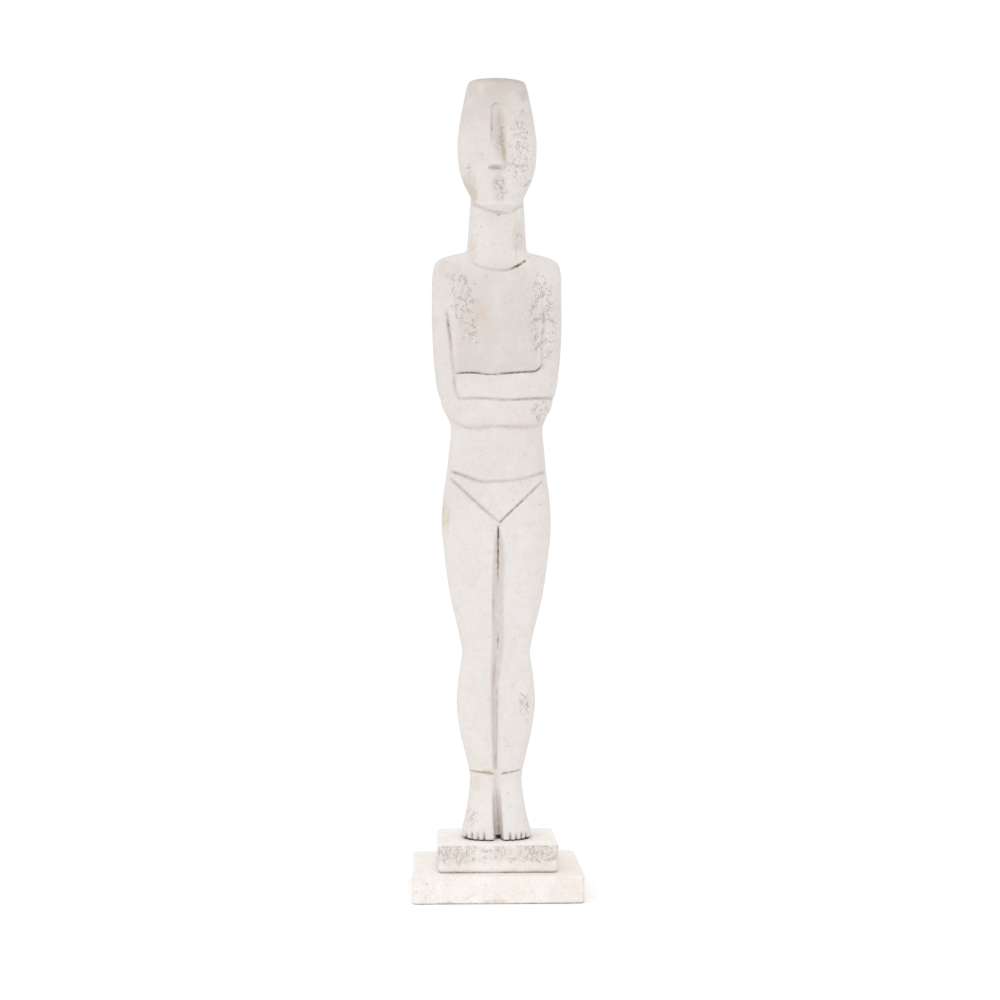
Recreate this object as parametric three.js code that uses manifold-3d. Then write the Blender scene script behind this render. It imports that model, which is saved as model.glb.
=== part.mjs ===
/**
 * Standing folded-arm figure of cast stone on a base of two stepped slabs. The figure is one piece, and so is
 * each slab. Millimetres, +Z up. The figure faces -Y. The origin is the centre of the lower slab's underside.
 */
import * as THREE from "three";
import { mergeVertices } from "three/addons/utils/BufferGeometryUtils.js";
import Module from "manifold-3d";

const { lerp, clamp, smoothstep } = THREE.MathUtils;
const wasm = await Module();
wasm.setup();

// Driving dimensions of the whole.

const TOTAL_HEIGHT = 400;
const LOWER_SLAB = { width: 81.6, depth: 64, height: 13, backset: 0, corner: 2.2, edge: 0.9, drawIn: 0 };
const UPPER_SLAB = { width: 58.2, depth: 46, height: 13.1, backset: -1, corner: 2.2, edge: 1.1, drawIn: 0.6 };
const SOLES = LOWER_SLAB.height + UPPER_SLAB.height;
const CROWN = TOTAL_HEIGHT - SOLES;
const BODY_AXIS_Y = 7; // the legs stand behind the middle of the base, and the feet reach forward

/**
 * Sections of the legs, trunk and neck. up is the height above the soles, half the half-width, front and back
 * how far the section reaches from the body axis, and square its corner exponent (2 is an ellipse).
 */
const BODY_SECTIONS = [
  { up: 0, half: 16.8, front: 20.0, back: 9.9, square: 3.0 }, // toe tips and heels
  { up: 3.6, half: 16.7, front: 19.6, back: 10.2, square: 3.0 },
  { up: 8.3, half: 15.5, front: 17.0, back: 10.0, square: 2.8 }, // instep
  { up: 19.3, half: 13.5, front: 10.6, back: 8.9, square: 2.7 },
  { up: 27.8, half: 12.8, front: 7.6, back: 8.3, square: 2.6 }, // ankles
  { up: 40, half: 15.2, front: 7.6, back: 10.3, square: 2.6 },
  { up: 52, half: 18.0, front: 8.3, back: 12.4, square: 2.6 },
  { up: 64.9, half: 19.4, front: 8.9, back: 13.1, square: 2.6 }, // calves
  { up: 78.8, half: 18.4, front: 10.0, back: 11.7, square: 2.6 },
  { up: 89.7, half: 16.9, front: 11.4, back: 9.8, square: 2.6 }, // knees
  { up: 98.7, half: 18.4, front: 11.8, back: 9.8, square: 2.6 },
  { up: 117.5, half: 22.7, front: 12.3, back: 11.6, square: 2.6 },
  { up: 135.9, half: 25.5, front: 12.9, back: 14.1, square: 2.6 },
  { up: 153.3, half: 26.9, front: 13.1, back: 15.3, square: 2.7 }, // hips
  { up: 165.1, half: 26.3, front: 13.0, back: 14.8, square: 2.7 },
  { up: 177.1, half: 24.6, front: 12.6, back: 13.2, square: 2.8 },
  { up: 189, half: 23.3, front: 12.3, back: 11.9, square: 2.9 },
  { up: 199.6, half: 22.4, front: 12.1, back: 11.3, square: 3.0 }, // waist, under the lower forearm
  { up: 202, half: 22.7, front: 13.4, back: 11.3, square: 3.0 },
  { up: 205.3, half: 23.8, front: 13.8, back: 11.4, square: 3.0 },
  { up: 209.9, half: 26.2, front: 13.9, back: 11.6, square: 3.0 }, // elbows
  { up: 221.7, half: 29.3, front: 13.8, back: 12.1, square: 3.1 },
  { up: 233.6, half: 31.0, front: 13.3, back: 12.5, square: 3.1 },
  { up: 254.2, half: 31.9, front: 12.6, back: 13.2, square: 3.1 }, // chest
  { up: 272.2, half: 31.9, front: 11.4, back: 12.8, square: 3.0 },
  { up: 278.6, half: 31.3, front: 10.7, back: 12.2, square: 2.9 },
  { up: 281.8, half: 29.9, front: 10.0, back: 11.6, square: 2.8 }, // shoulder corners
  { up: 283.5, half: 27.4, front: 9.5, back: 11.2, square: 2.7 },
  { up: 284.9, half: 23.2, front: 9.2, back: 10.9, square: 2.6 },
  { up: 286.8, half: 15.8, front: 8.8, back: 10.6, square: 2.5 }, // foot of the neck
  { up: 288.7, half: 14.7, front: 8.6, back: 10.4, square: 2.6 },
  { up: 292.8, half: 14.3, front: 8.5, back: 10.2, square: 2.6 },
  { up: 298.8, half: 13.9, front: 8.3, back: 9.7, square: 2.6 },
  { up: 310.6, half: 13.1, front: 8.3, back: 9.0, square: 2.6 },
  { up: 318.3, half: 12.4, front: 8.0, back: 8.4, square: 2.6 },
  { up: 329.3, half: 9, front: 5, back: 5, square: 2.4 }, // the neck's end, inside the head
];

/** Sections of the head. It leans back: its face runs away from the chin to the crown. */
const HEAD_SECTIONS = [
  { up: CROWN - 69, half: 3.6, front: 7.4, back: 2.0, square: 2.0 }, // under the chin
  { up: CROWN - 67.6, half: 7.6, front: 9.6, back: 5.0, square: 2.1 },
  { up: CROWN - 66.2, half: 10.2, front: 11.4, back: 7.2, square: 2.2 },
  { up: CROWN - 64.6, half: 11.7, front: 13.0, back: 8.0, square: 2.4 }, // edge of the chin
  { up: CROWN - 60.6, half: 12.8, front: 13.3, back: 8.7, square: 2.6 },
  { up: CROWN - 57.6, half: 14.3, front: 13.0, back: 9.1, square: 2.7 },
  { up: CROWN - 51.7, half: 17.0, front: 12.1, back: 9.9, square: 2.8 }, // jaw
  { up: CROWN - 43, half: 19.1, front: 10.3, back: 11.1, square: 2.8 },
  { up: CROWN - 34, half: 19.6, front: 8.4, back: 11.9, square: 2.8 }, // cheeks
  { up: CROWN - 25, half: 18.7, front: 6.4, back: 12.6, square: 2.8 },
  { up: CROWN - 12, half: 16.5, front: 3.5, back: 12.9, square: 2.8 },
  { up: CROWN - 4.4, half: 14.8, front: 1.7, back: 12.0, square: 2.8 }, // forehead
  { up: CROWN - 2.2, half: 13.9, front: 0.7, back: 11.2, square: 2.7 },
  { up: CROWN - 1, half: 11.4, front: -0.6, back: 10.0, square: 2.6 },
  { up: CROWN, half: 5.5, front: -3.0, back: 7.6, square: 2.2 }, // crown
];

// Carving. Places are x and the height above the soles; width and depth are those of a line's V section.

const NOSE = {
  top: { x: -1.6, up: CROWN - 13.4, half: 1.7 },
  foot: { x: -0.3, up: CROWN - 46.9, half: 4.9 },
  proud: 3.0,
};
const NOSE_RIDGE = 0.35; // share of the nose's width that is flat
const COLLAR = { low: 277.1, half: 13.4, rise: 4.6, width: 1.3, depth: 1.0 };
const ARM_GROOVE = { top: 258.3, topX: 23.6, foot: 215.3, footX: 19.8, bow: 1.2, width: 1.7, depth: 1.0 };
const CHEST_RECESS = { half: 20.6, top: 261.3, depth: 1.3 };
const FOREARM_TOP = { up: 226.3, left: -20.4, right: 21.4, curl: 3.4, width: 1.3, depth: 1.1 };
const FOREARM_SPLIT = { up: 214.1, left: -19, width: 1.3, depth: 1.0 };
const BELLY_LINE = { low: 173.8, half: 22.4, rise: 4.6, width: 1.4, depth: 0.9 };
const GROIN = { outerX: 22.2, outerUp: 174.1, innerX: 0.9, innerUp: 154.4, sag: 0.8, width: 1.4, depth: 0.9 };
const ANKLE_LINE = { outerX: 12, outerUp: 31.2, innerX: 2.2, innerUp: 30.2, width: 1.3, depth: 0.8 };
const FRONT_CLEFT = { side: -1, top: 151, foot: 18, width: 5.4, depth: 2.9, footDepth: 8 };
const BACK_CLEFT = { side: 1, top: 162.1, foot: 18, width: 4.6, depth: 2.8, footDepth: 5.0 };
const TOE_LINES = { places: [6.3, 9.2, 12.1, 14.7], up: 5.2, width: 1.0, depth: 0.9 };
const SPINE = { top: 271.3, foot: 185.2, width: 2.2, depth: 0.9 };
const BACK_ARM = { top: 261.3, foot: 207.3, topX: 22.8, footX: 19.8, width: 1.8, depth: 0.9 };

const COLUMNS = 32; // points round a section
const ROW_PITCH = 8; // greatest height between two rows of points
const CUTTER_RIM = 1.5; // how far a cutter stands out of the skin
const CUTTER_OVERRUN = 2; // how far a cutter runs past the soles

const FIGURE_COLOUR = 0xe4dcd6;
const SLAB_COLOUR = 0xefe9e2;
const CAST_STONE = { roughness: 0.92, metalness: 0 };

/** Gives a function (up, key) that runs smoothly through the sections and never overshoots them. */
function smoothThrough(sections) {
  const last = sections.length - 1;
  const slope = (i, key) => (sections[i + 1][key] - sections[i][key]) / (sections[i + 1].up - sections[i].up);
  const tangent = (i, key) => {
    const before = slope(Math.max(i - 1, 0), key);
    const after = slope(Math.min(i, last - 1), key);
    return before * after > 0 ? (2 * before * after) / (before + after) : 0;
  };
  return (up, key) => {
    const height = clamp(up, sections[0].up, sections[last].up);
    const above = sections.findIndex((section) => section.up > height);
    const i = above < 0 ? last - 1 : above - 1;
    const span = sections[i + 1].up - sections[i].up;
    const t = (height - sections[i].up) / span;
    const start = (1 + 2 * t) * sections[i][key] + t * span * tangent(i, key);
    const end = (3 - 2 * t) * sections[i + 1][key] + (t - 1) * span * tangent(i + 1, key);
    return (1 - t) ** 2 * start + t ** 2 * end;
  };
}

/** The closed skin through a list of sections. */
class Skin {
  constructor(sections) {
    this.sections = sections;
    this.at = smoothThrough(sections);
  }

  middleY(up) {
    return BODY_AXIS_Y + (this.at(up, "back") - this.at(up, "front")) / 2;
  }

  halfDepth(up) {
    return (this.at(up, "back") + this.at(up, "front")) / 2;
  }

  /** The point at an angle round the section: 0 is at +X, a quarter turn at the back. */
  ringPoint(angle, up) {
    const power = 2 / this.at(up, "square");
    const swing = (value) => Math.sign(value) * Math.abs(value) ** power;
    const x = this.at(up, "half") * swing(Math.cos(angle));
    const y = this.middleY(up) + this.halfDepth(up) * swing(Math.sin(angle));
    return new THREE.Vector3(x, y, SOLES + up);
  }

  /** The point of the front (side -1) or the back (side 1) at x, moved out of the skin by offset. */
  place(x, up, side, offset = 0) {
    const { point, out } = this.facing(x, up, side);
    return point.addScaledVector(out, offset);
  }

  /** The same point with the skin's outward direction there. */
  facing(x, up, side) {
    const half = this.at(up, "half");
    const square = this.at(up, "square");
    const depth = this.halfDepth(up);
    const share = Math.min(Math.abs(x) / half, 0.995);
    const along = (1 - share ** square) ** (1 / square);
    const y = this.middleY(up) + side * depth * along;
    const point = new THREE.Vector3(Math.sign(x) * share * half, y, SOLES + up);
    const outX = (Math.sign(x) * share ** (square - 1)) / half;
    const outY = (side * along ** (square - 1)) / depth;
    return { point, out: new THREE.Vector3(outX, outY, 0).normalize() };
  }

  /** Heights of the rows: every section, and even steps between two that are far apart. */
  rows() {
    return this.sections.flatMap((section, i) => {
      const next = this.sections[i + 1];
      if (!next) return [section.up];
      const steps = Math.ceil((next.up - section.up) / ROW_PITCH);
      return Array.from({ length: steps }, (_, k) => lerp(section.up, next.up, k / steps));
    });
  }

  solid() {
    const turns = Array.from({ length: COLUMNS }, (_, k) => (2 * Math.PI * k) / COLUMNS);
    return solidFromRings(this.rows().map((up) => turns.map((angle) => this.ringPoint(angle, up))));
  }
}

function manifoldOf(coordinates, faces) {
  const vertProperties = new Float32Array(coordinates);
  const triVerts = new Uint32Array(faces);
  return new wasm.Manifold(new wasm.Mesh({ numProp: 3, vertProperties, triVerts }));
}

/** Joins rings of equal count into a closed solid. Seen from the last ring, each runs counter-clockwise. */
function solidFromRings(rings) {
  const count = rings[0].length;
  const points = rings.flat();
  const faces = [];
  for (let k = 0; k < count; k += 1) {
    const next = (k + 1) % count;
    for (let start = 0; start < points.length - count; start += count) {
      faces.push(start + k, start + next, start + next + count);
      faces.push(start + k, start + next + count, start + k + count);
    }
    const lastStart = points.length - count;
    faces.push(points.length, next, k);
    faces.push(points.length + 1, lastStart + k, lastStart + next);
  }
  const sum = (ring) => ring.reduce((total, point) => total.add(point), new THREE.Vector3());
  const hubs = [rings[0], rings.at(-1)].map((ring) => sum(ring).divideScalar(count));
  return manifoldOf([...points, ...hubs].flatMap((point) => point.toArray()), faces);
}

/** One triangular ring of a cutter: its point in the stone, its rim outside. */
function cutterRing(skin, x, up, side, heading, width, depth) {
  const { point, out } = skin.facing(x, up, side);
  point.z = SOLES + up;
  const across = new THREE.Vector3().crossVectors(heading, out).normalize();
  const reach = (width / 2) * (1 + CUTTER_RIM / depth);
  const rim = point.clone().addScaledVector(out, CUTTER_RIM);
  return [
    point.addScaledVector(out, -depth),
    rim.clone().addScaledVector(across, -reach),
    rim.addScaledVector(across, reach),
  ];
}

/** Cuts a line that follows (x, height) places on one side of the skin and fades towards its two ends. */
function lineCutter(skin, places, { width, depth }, side = -1, steps = 12) {
  const curve = new THREE.CatmullRomCurve3(places.map(([x, up]) => new THREE.Vector3(x, 0, up)));
  const rings = curve.getSpacedPoints(steps).map((spot, i) => {
    const share = i / steps;
    const fade = Math.min(1, 0.35 + 5 * Math.min(share, 1 - share));
    const heading = curve.getTangentAt(share);
    return cutterRing(skin, spot.x, spot.z, side, heading, width * fade, depth * fade);
  });
  return solidFromRings(rings);
}

/** The cutter of a line and of its mirror image. */
function lineCutters(skin, places, size, side = -1, steps = 12) {
  return [-1, 1].map((hand) => {
    const onHand = places.map(([x, up]) => [hand * x, up]);
    return lineCutter(skin, onHand, size, side, steps);
  });
}

/** Upright cut between the legs, deeper between the feet. Its rings stand at the skin's own rows. */
function cleftCutter(skin, { side, top, foot, width, depth, footDepth }) {
  const heights = [-CUTTER_OVERRUN, ...skin.rows().filter((up) => up < top), top];
  const rings = heights.map((up) => {
    const deep = lerp(footDepth, depth, smoothstep(up, 0, foot));
    const fade = Math.min(1, 0.3 + (top - up) / foot);
    return cutterRing(skin, 0, up, side, new THREE.Vector3(0, 0, 1), width * fade, deep * fade);
  });
  return solidFromRings(rings);
}

/** Four short cuts between the toes of each foot. */
function toeCutters(skin) {
  const cuts = TOE_LINES.places.flatMap((x) => [-x, x]);
  const upward = new THREE.Vector3(0, 0, 1);
  return cuts.map((x) => {
    const { up, width, depth } = TOE_LINES;
    const ring = (height, fade) => cutterRing(skin, x, height, -1, upward, width * fade, depth * fade);
    return solidFromRings([ring(-CUTTER_OVERRUN, 1), ring(up / 2, 1), ring(up, 0.4)]);
  });
}

/** Places on an arc across the front, hanging in the middle. */
function hangingArc({ low, half, rise }) {
  return [-1, -0.6, 0, 0.6, 1].map((share) => [share * half, low + rise * share ** 2]);
}

/** The part of the chest that lies back between the arms, farthest where the upper forearm crosses it. */
function chestCutter(skin) {
  const columns = 12;
  const low = FOREARM_TOP.up;
  const { half, top, depth } = CHEST_RECESS;
  const rings = Array.from({ length: columns + 1 }, (_, i) => {
    const x = half * ((2 * i) / columns - 1);
    const sunk = depth * Math.min(1, 0.15 + 4 * (1 - Math.abs(x) / half));
    return [
      skin.place(x, low, -1, -sunk),
      skin.place(x, (low + top) / 2, -1, -0.45 * sunk),
      skin.place(x, top, -1, 0.02),
      skin.place(x, top, -1, CUTTER_RIM),
      skin.place(x, low, -1, CUTTER_RIM),
    ];
  });
  return solidFromRings(rings);
}

/** The nose: a long wedge on the face, cut off flat below. */
function noseSolid(head) {
  const steps = 6;
  const rings = Array.from({ length: steps + 1 }, (_, i) => {
    const share = i / steps;
    const middle = lerp(NOSE.foot.x, NOSE.top.x, share);
    const up = lerp(NOSE.foot.up, NOSE.top.up, share);
    const half = lerp(NOSE.foot.half, NOSE.top.half, share);
    const proud = 0.1 + NOSE.proud * (1 - share) ** 0.8;
    const ridge = NOSE_RIDGE * half;
    const section = [
      [-half, -1],
      [-half, 0],
      [-ridge, proud],
      [ridge, proud],
      [half, 0],
      [half, -1],
    ];
    return section.map(([x, offset]) => head.place(middle + x, up, -1, offset));
  });
  return solidFromRings(rings);
}

/** Cutters of the lines on the front. */
function frontCutters(body) {
  const arm = ARM_GROOVE;
  const armPlaces = [
    [arm.topX, arm.top],
    [(arm.topX + arm.footX) / 2 + arm.bow, (arm.top + arm.foot) / 2],
    [arm.footX, arm.foot],
  ];
  const forearmPlaces = [
    [FOREARM_TOP.left, FOREARM_TOP.up - 0.2],
    [0, FOREARM_TOP.up],
    [0.8 * FOREARM_TOP.right, FOREARM_TOP.up + 0.35 * FOREARM_TOP.curl],
    [FOREARM_TOP.right, FOREARM_TOP.up + FOREARM_TOP.curl],
  ];
  const splitPlaces = [
    [FOREARM_SPLIT.left, FOREARM_SPLIT.up],
    [0.2 * body.at(FOREARM_SPLIT.up, "half"), FOREARM_SPLIT.up - 0.6],
    [body.at(FOREARM_SPLIT.up, "half"), FOREARM_SPLIT.up + 0.4],
  ];
  const groinPlaces = [
    [GROIN.outerX, GROIN.outerUp],
    [(GROIN.outerX + GROIN.innerX) / 2, (GROIN.outerUp + GROIN.innerUp) / 2 - GROIN.sag],
    [GROIN.innerX, GROIN.innerUp],
  ];
  const anklePlaces = [
    [ANKLE_LINE.outerX, ANKLE_LINE.outerUp],
    [ANKLE_LINE.innerX, ANKLE_LINE.innerUp],
  ];
  return [
    lineCutter(body, hangingArc(COLLAR), COLLAR),
    ...lineCutters(body, armPlaces, ARM_GROOVE),
    chestCutter(body),
    lineCutter(body, forearmPlaces, FOREARM_TOP),
    lineCutter(body, splitPlaces, FOREARM_SPLIT),
    lineCutter(body, hangingArc(BELLY_LINE), BELLY_LINE),
    ...lineCutters(body, groinPlaces, GROIN),
    ...lineCutters(body, anklePlaces, ANKLE_LINE, -1, 4),
    cleftCutter(body, FRONT_CLEFT),
    ...toeCutters(body),
  ];
}

/** Cutters of the fewer lines on the back. */
function backCutters(body) {
  const spinePlaces = [
    [0, SPINE.top],
    [0, SPINE.foot],
  ];
  const armPlaces = [
    [BACK_ARM.topX, BACK_ARM.top],
    [BACK_ARM.footX, BACK_ARM.foot],
  ];
  return [
    lineCutter(body, spinePlaces, SPINE, 1),
    ...lineCutters(body, armPlaces, BACK_ARM, 1),
    cleftCutter(body, BACK_CLEFT),
  ];
}

function figureSolid() {
  const body = new Skin(BODY_SECTIONS);
  const head = new Skin(HEAD_SECTIONS);
  const blank = wasm.Manifold.union([body.solid(), head.solid(), noseSolid(head)]);
  const carving = wasm.Manifold.union([...frontCutters(body), ...backCutters(body)]);
  return blank.subtract(carving);
}

/** A hand-cast slab with soft edges. drawIn is how far each side draws in from the top to the underside. */
function slabSolid({ width, depth, height, backset, corner, edge, drawIn }) {
  const x = width / 2 - edge;
  const y = depth / 2 - edge;
  const outline = new THREE.Shape();
  outline.moveTo(corner - x, -y);
  outline.lineTo(x - corner, -y);
  outline.quadraticCurveTo(x, -y, x, corner - y);
  outline.lineTo(x, y - corner);
  outline.quadraticCurveTo(x, y, x - corner, y);
  outline.lineTo(corner - x, y);
  outline.quadraticCurveTo(-x, y, -x, y - corner);
  outline.lineTo(-x, corner - y);
  outline.quadraticCurveTo(-x, -y, corner - x, -y);
  const geometry = new THREE.ExtrudeGeometry(outline, {
    depth: height - 2 * edge,
    bevelThickness: edge,
    bevelSize: edge,
    bevelSegments: 2,
    curveSegments: 3,
  });
  geometry.translate(0, backset, edge);
  const places = geometry.attributes.position;
  for (let i = 0; i < places.count; i += 1) {
    const drop = 1 - places.getZ(i) / height;
    places.setX(i, places.getX(i) * (1 - (drawIn * drop) / (width / 2)));
  }
  geometry.deleteAttribute("normal");
  geometry.deleteAttribute("uv");
  const merged = mergeVertices(geometry, 1e-4);
  return manifoldOf(merged.attributes.position.array, merged.index.array);
}

function meshOf(name, solid, color) {
  const { vertProperties, triVerts } = solid.getMesh();
  const geometry = new THREE.BufferGeometry();
  geometry.setAttribute("position", new THREE.BufferAttribute(new Float32Array(vertProperties), 3));
  geometry.setIndex(new THREE.BufferAttribute(new Uint32Array(triVerts), 1));
  geometry.computeVertexNormals();
  const mesh = new THREE.Mesh(geometry, new THREE.MeshStandardMaterial({ color, ...CAST_STONE }));
  mesh.name = name;
  return mesh;
}

const lowerSlab = meshOf("lower_slab", slabSolid(LOWER_SLAB), SLAB_COLOUR);
const upperSlab = meshOf("upper_slab", slabSolid(UPPER_SLAB), SLAB_COLOUR);
upperSlab.position.z = LOWER_SLAB.height;
const figure = meshOf("figure", figureSolid(), FIGURE_COLOUR);

const statuette = new THREE.Group();
statuette.add(lowerSlab, upperSlab, figure);

export default statuette;
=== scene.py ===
"""Folded-arm figure of cast stone on a two-step base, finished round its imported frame.

The figure and its two slabs are made again as fine meshes from the sections that their solids have, with the
carving, pores and wear of a hand-finished casting, and they take the place of the plain solids.
"""

from __future__ import annotations

import logging
import math
from dataclasses import dataclass, replace
from enum import Enum
from functools import partial
from typing import Any

import bpy
import numpy as np
from mathutils import Euler, Matrix, Vector


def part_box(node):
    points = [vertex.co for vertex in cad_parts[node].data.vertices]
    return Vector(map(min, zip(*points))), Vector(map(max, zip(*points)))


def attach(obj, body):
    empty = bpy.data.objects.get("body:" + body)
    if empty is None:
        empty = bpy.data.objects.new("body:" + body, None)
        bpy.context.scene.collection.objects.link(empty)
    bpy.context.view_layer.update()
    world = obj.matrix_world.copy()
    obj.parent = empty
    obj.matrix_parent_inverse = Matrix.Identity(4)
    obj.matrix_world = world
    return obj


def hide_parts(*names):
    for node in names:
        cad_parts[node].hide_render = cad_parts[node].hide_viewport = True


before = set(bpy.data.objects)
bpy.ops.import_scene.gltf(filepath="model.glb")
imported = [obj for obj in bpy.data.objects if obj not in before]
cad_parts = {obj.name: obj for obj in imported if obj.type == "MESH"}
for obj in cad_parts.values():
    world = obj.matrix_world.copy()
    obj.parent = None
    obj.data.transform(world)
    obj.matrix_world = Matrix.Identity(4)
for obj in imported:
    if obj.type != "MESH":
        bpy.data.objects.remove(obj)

MM = 0.001
log = logging.getLogger("figurine")


# --- Numbers and fields ---


class Side(Enum):
    """The two faces of the figure that lines are carved on."""

    FRONT = -1
    BACK = 1


def smoothstep(low: float, high: float, value: np.ndarray) -> np.ndarray:
    """Rises smoothly from 0 at low to 1 at high, and falls where high is below low.

    Args:
        low: Value where the step starts.
        high: Value where the step ends.
        value: Values to grade.

    Returns:
        The graded values, 0 to 1.
    """
    t = np.clip((value - low) / (high - low), 0.0, 1.0)
    return t * t * (3.0 - 2.0 * t)


def mound(distance: np.ndarray, radius: float) -> np.ndarray:
    """A round bump: 1 at distance 0, 0 from radius outwards."""
    t = np.clip(distance / radius, 0.0, 1.0)
    return (1.0 - t * t) ** 2


class Noise:
    """Smooth value noise on a lattice, the same on every run."""

    TABLE = 4096
    PRIMES = (73856093, 19349663, 83492791)

    def __init__(self, seed: int) -> None:
        """Draws the table of lattice values.

        Args:
            seed: Starts the random draw.
        """
        self.values = np.random.default_rng(seed).uniform(-1.0, 1.0, self.TABLE)

    def at(self, places: np.ndarray, size: float) -> np.ndarray:
        """Noise at places.

        Args:
            places: Points in mm, shape (..., 3).
            size: Width of a lump in mm.

        Returns:
            Values from -1 to 1, shape (...).
        """
        scaled = places / size
        cell = np.floor(scaled).astype(np.int64)
        t = scaled - cell
        t = t * t * (3.0 - 2.0 * t)
        total = np.zeros(places.shape[:-1])
        for corner in range(8):
            step = np.array([corner & 1, corner >> 1 & 1, corner >> 2])
            index = (cell + step) * np.array(self.PRIMES)
            key = (index[..., 0] ^ index[..., 1] ^ index[..., 2]) % self.TABLE
            weight = np.where(step == 1, t, 1.0 - t).prod(axis=-1)
            total += weight * self.values[key]
        return total

    def rough(self, places: np.ndarray, size: float, octaves: int = 3) -> np.ndarray:
        """Sum of noise at size, half of it, a quarter and so on, each half as strong as the last."""
        layers = [self.at(places + 31.7 * k, size / 2**k) / 2**k for k in range(octaves)]
        return sum(layers) / sum(0.5**k for k in range(octaves))


# --- Form of the figure ---


@dataclass(frozen=True)
class Section:
    """One level of the figure, in mm.

    up is the height above the soles, half the half-width, front and back how far the section reaches from the
    body axis, and square its corner exponent (2 is an ellipse).
    """

    up: float
    half: float
    front: float
    back: float
    square: float


BODY_SECTIONS = (
    Section(0, 16.8, 20.0, 9.9, 3.0),  # toe tips and heels
    Section(3.6, 16.7, 19.6, 10.2, 3.0),
    Section(8.3, 15.5, 17.0, 10.0, 2.8),  # instep
    Section(19.3, 13.5, 10.6, 8.9, 2.7),
    Section(27.8, 12.8, 7.6, 8.3, 2.6),  # ankles
    Section(40, 15.2, 7.6, 10.3, 2.6),
    Section(52, 18.0, 8.3, 12.4, 2.6),
    Section(64.9, 19.4, 8.9, 13.1, 2.6),  # calves
    Section(78.8, 18.4, 10.0, 11.7, 2.6),
    Section(89.7, 16.9, 11.4, 9.8, 2.6),  # knees
    Section(98.7, 18.4, 11.8, 9.8, 2.6),
    Section(117.5, 22.7, 12.3, 11.6, 2.6),
    Section(135.9, 25.5, 12.9, 14.1, 2.6),
    Section(153.3, 26.9, 13.1, 15.3, 2.7),  # hips
    Section(165.1, 26.3, 13.0, 14.8, 2.7),
    Section(177.1, 24.6, 12.6, 13.2, 2.8),
    Section(189, 23.3, 12.3, 11.9, 2.9),
    Section(199.6, 22.4, 12.1, 11.3, 3.0),  # waist, under the lower forearm
    Section(202, 22.7, 13.4, 11.3, 3.0),
    Section(205.3, 23.8, 13.8, 11.4, 3.0),
    Section(209.9, 26.2, 13.9, 11.6, 3.0),  # elbows
    Section(221.7, 29.3, 13.8, 12.1, 3.1),
    Section(233.6, 31.0, 13.3, 12.5, 3.1),
    Section(254.2, 31.9, 12.6, 13.2, 3.1),  # chest
    Section(272.2, 31.9, 11.4, 12.8, 3.0),
    Section(278.6, 31.3, 10.7, 12.2, 2.9),
    Section(281.8, 29.9, 10.0, 11.6, 2.8),  # shoulder corners
    Section(283.5, 27.4, 9.5, 11.2, 2.7),
    Section(284.9, 23.2, 9.2, 10.9, 2.6),
    Section(286.8, 15.8, 8.8, 10.6, 2.5),  # foot of the neck
    Section(288.7, 14.7, 8.6, 10.4, 2.6),
    Section(292.8, 14.3, 8.5, 10.2, 2.6),
    Section(298.8, 13.9, 8.3, 9.7, 2.6),
    Section(310.6, 13.1, 8.3, 9.0, 2.6),
    Section(318.3, 12.4, 8.0, 8.4, 2.6),
    Section(329.3, 9, 5, 5, 2.4),  # the neck's end, inside the head
)
CROWN = 373.9
BODY_AXIS_Y = 7.0
HEAD_SECTIONS = (
    Section(CROWN - 69, 3.6, 7.4, 2.0, 2.0),  # under the chin
    Section(CROWN - 67.6, 7.6, 9.6, 5.0, 2.1),
    Section(CROWN - 66.2, 10.2, 11.4, 7.2, 2.2),
    Section(CROWN - 64.6, 11.7, 13.0, 8.0, 2.4),  # edge of the chin
    Section(CROWN - 60.6, 12.8, 13.3, 8.7, 2.6),
    Section(CROWN - 57.6, 14.3, 13.0, 9.1, 2.7),
    Section(CROWN - 51.7, 17.0, 12.1, 9.9, 2.8),  # jaw
    Section(CROWN - 43, 19.1, 10.3, 11.1, 2.8),
    Section(CROWN - 34, 19.6, 8.4, 11.9, 2.8),  # cheeks
    Section(CROWN - 25, 18.7, 6.4, 12.6, 2.8),
    Section(CROWN - 12, 16.5, 3.5, 12.9, 2.8),
    Section(CROWN - 4.4, 14.8, 1.7, 12.0, 2.8),  # forehead
    Section(CROWN - 2.2, 13.9, 0.7, 11.2, 2.7),
    Section(CROWN - 1, 11.4, -0.6, 10.0, 2.6),
    Section(CROWN, 5.5, -3.0, 7.6, 2.2),  # crown
)


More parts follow.
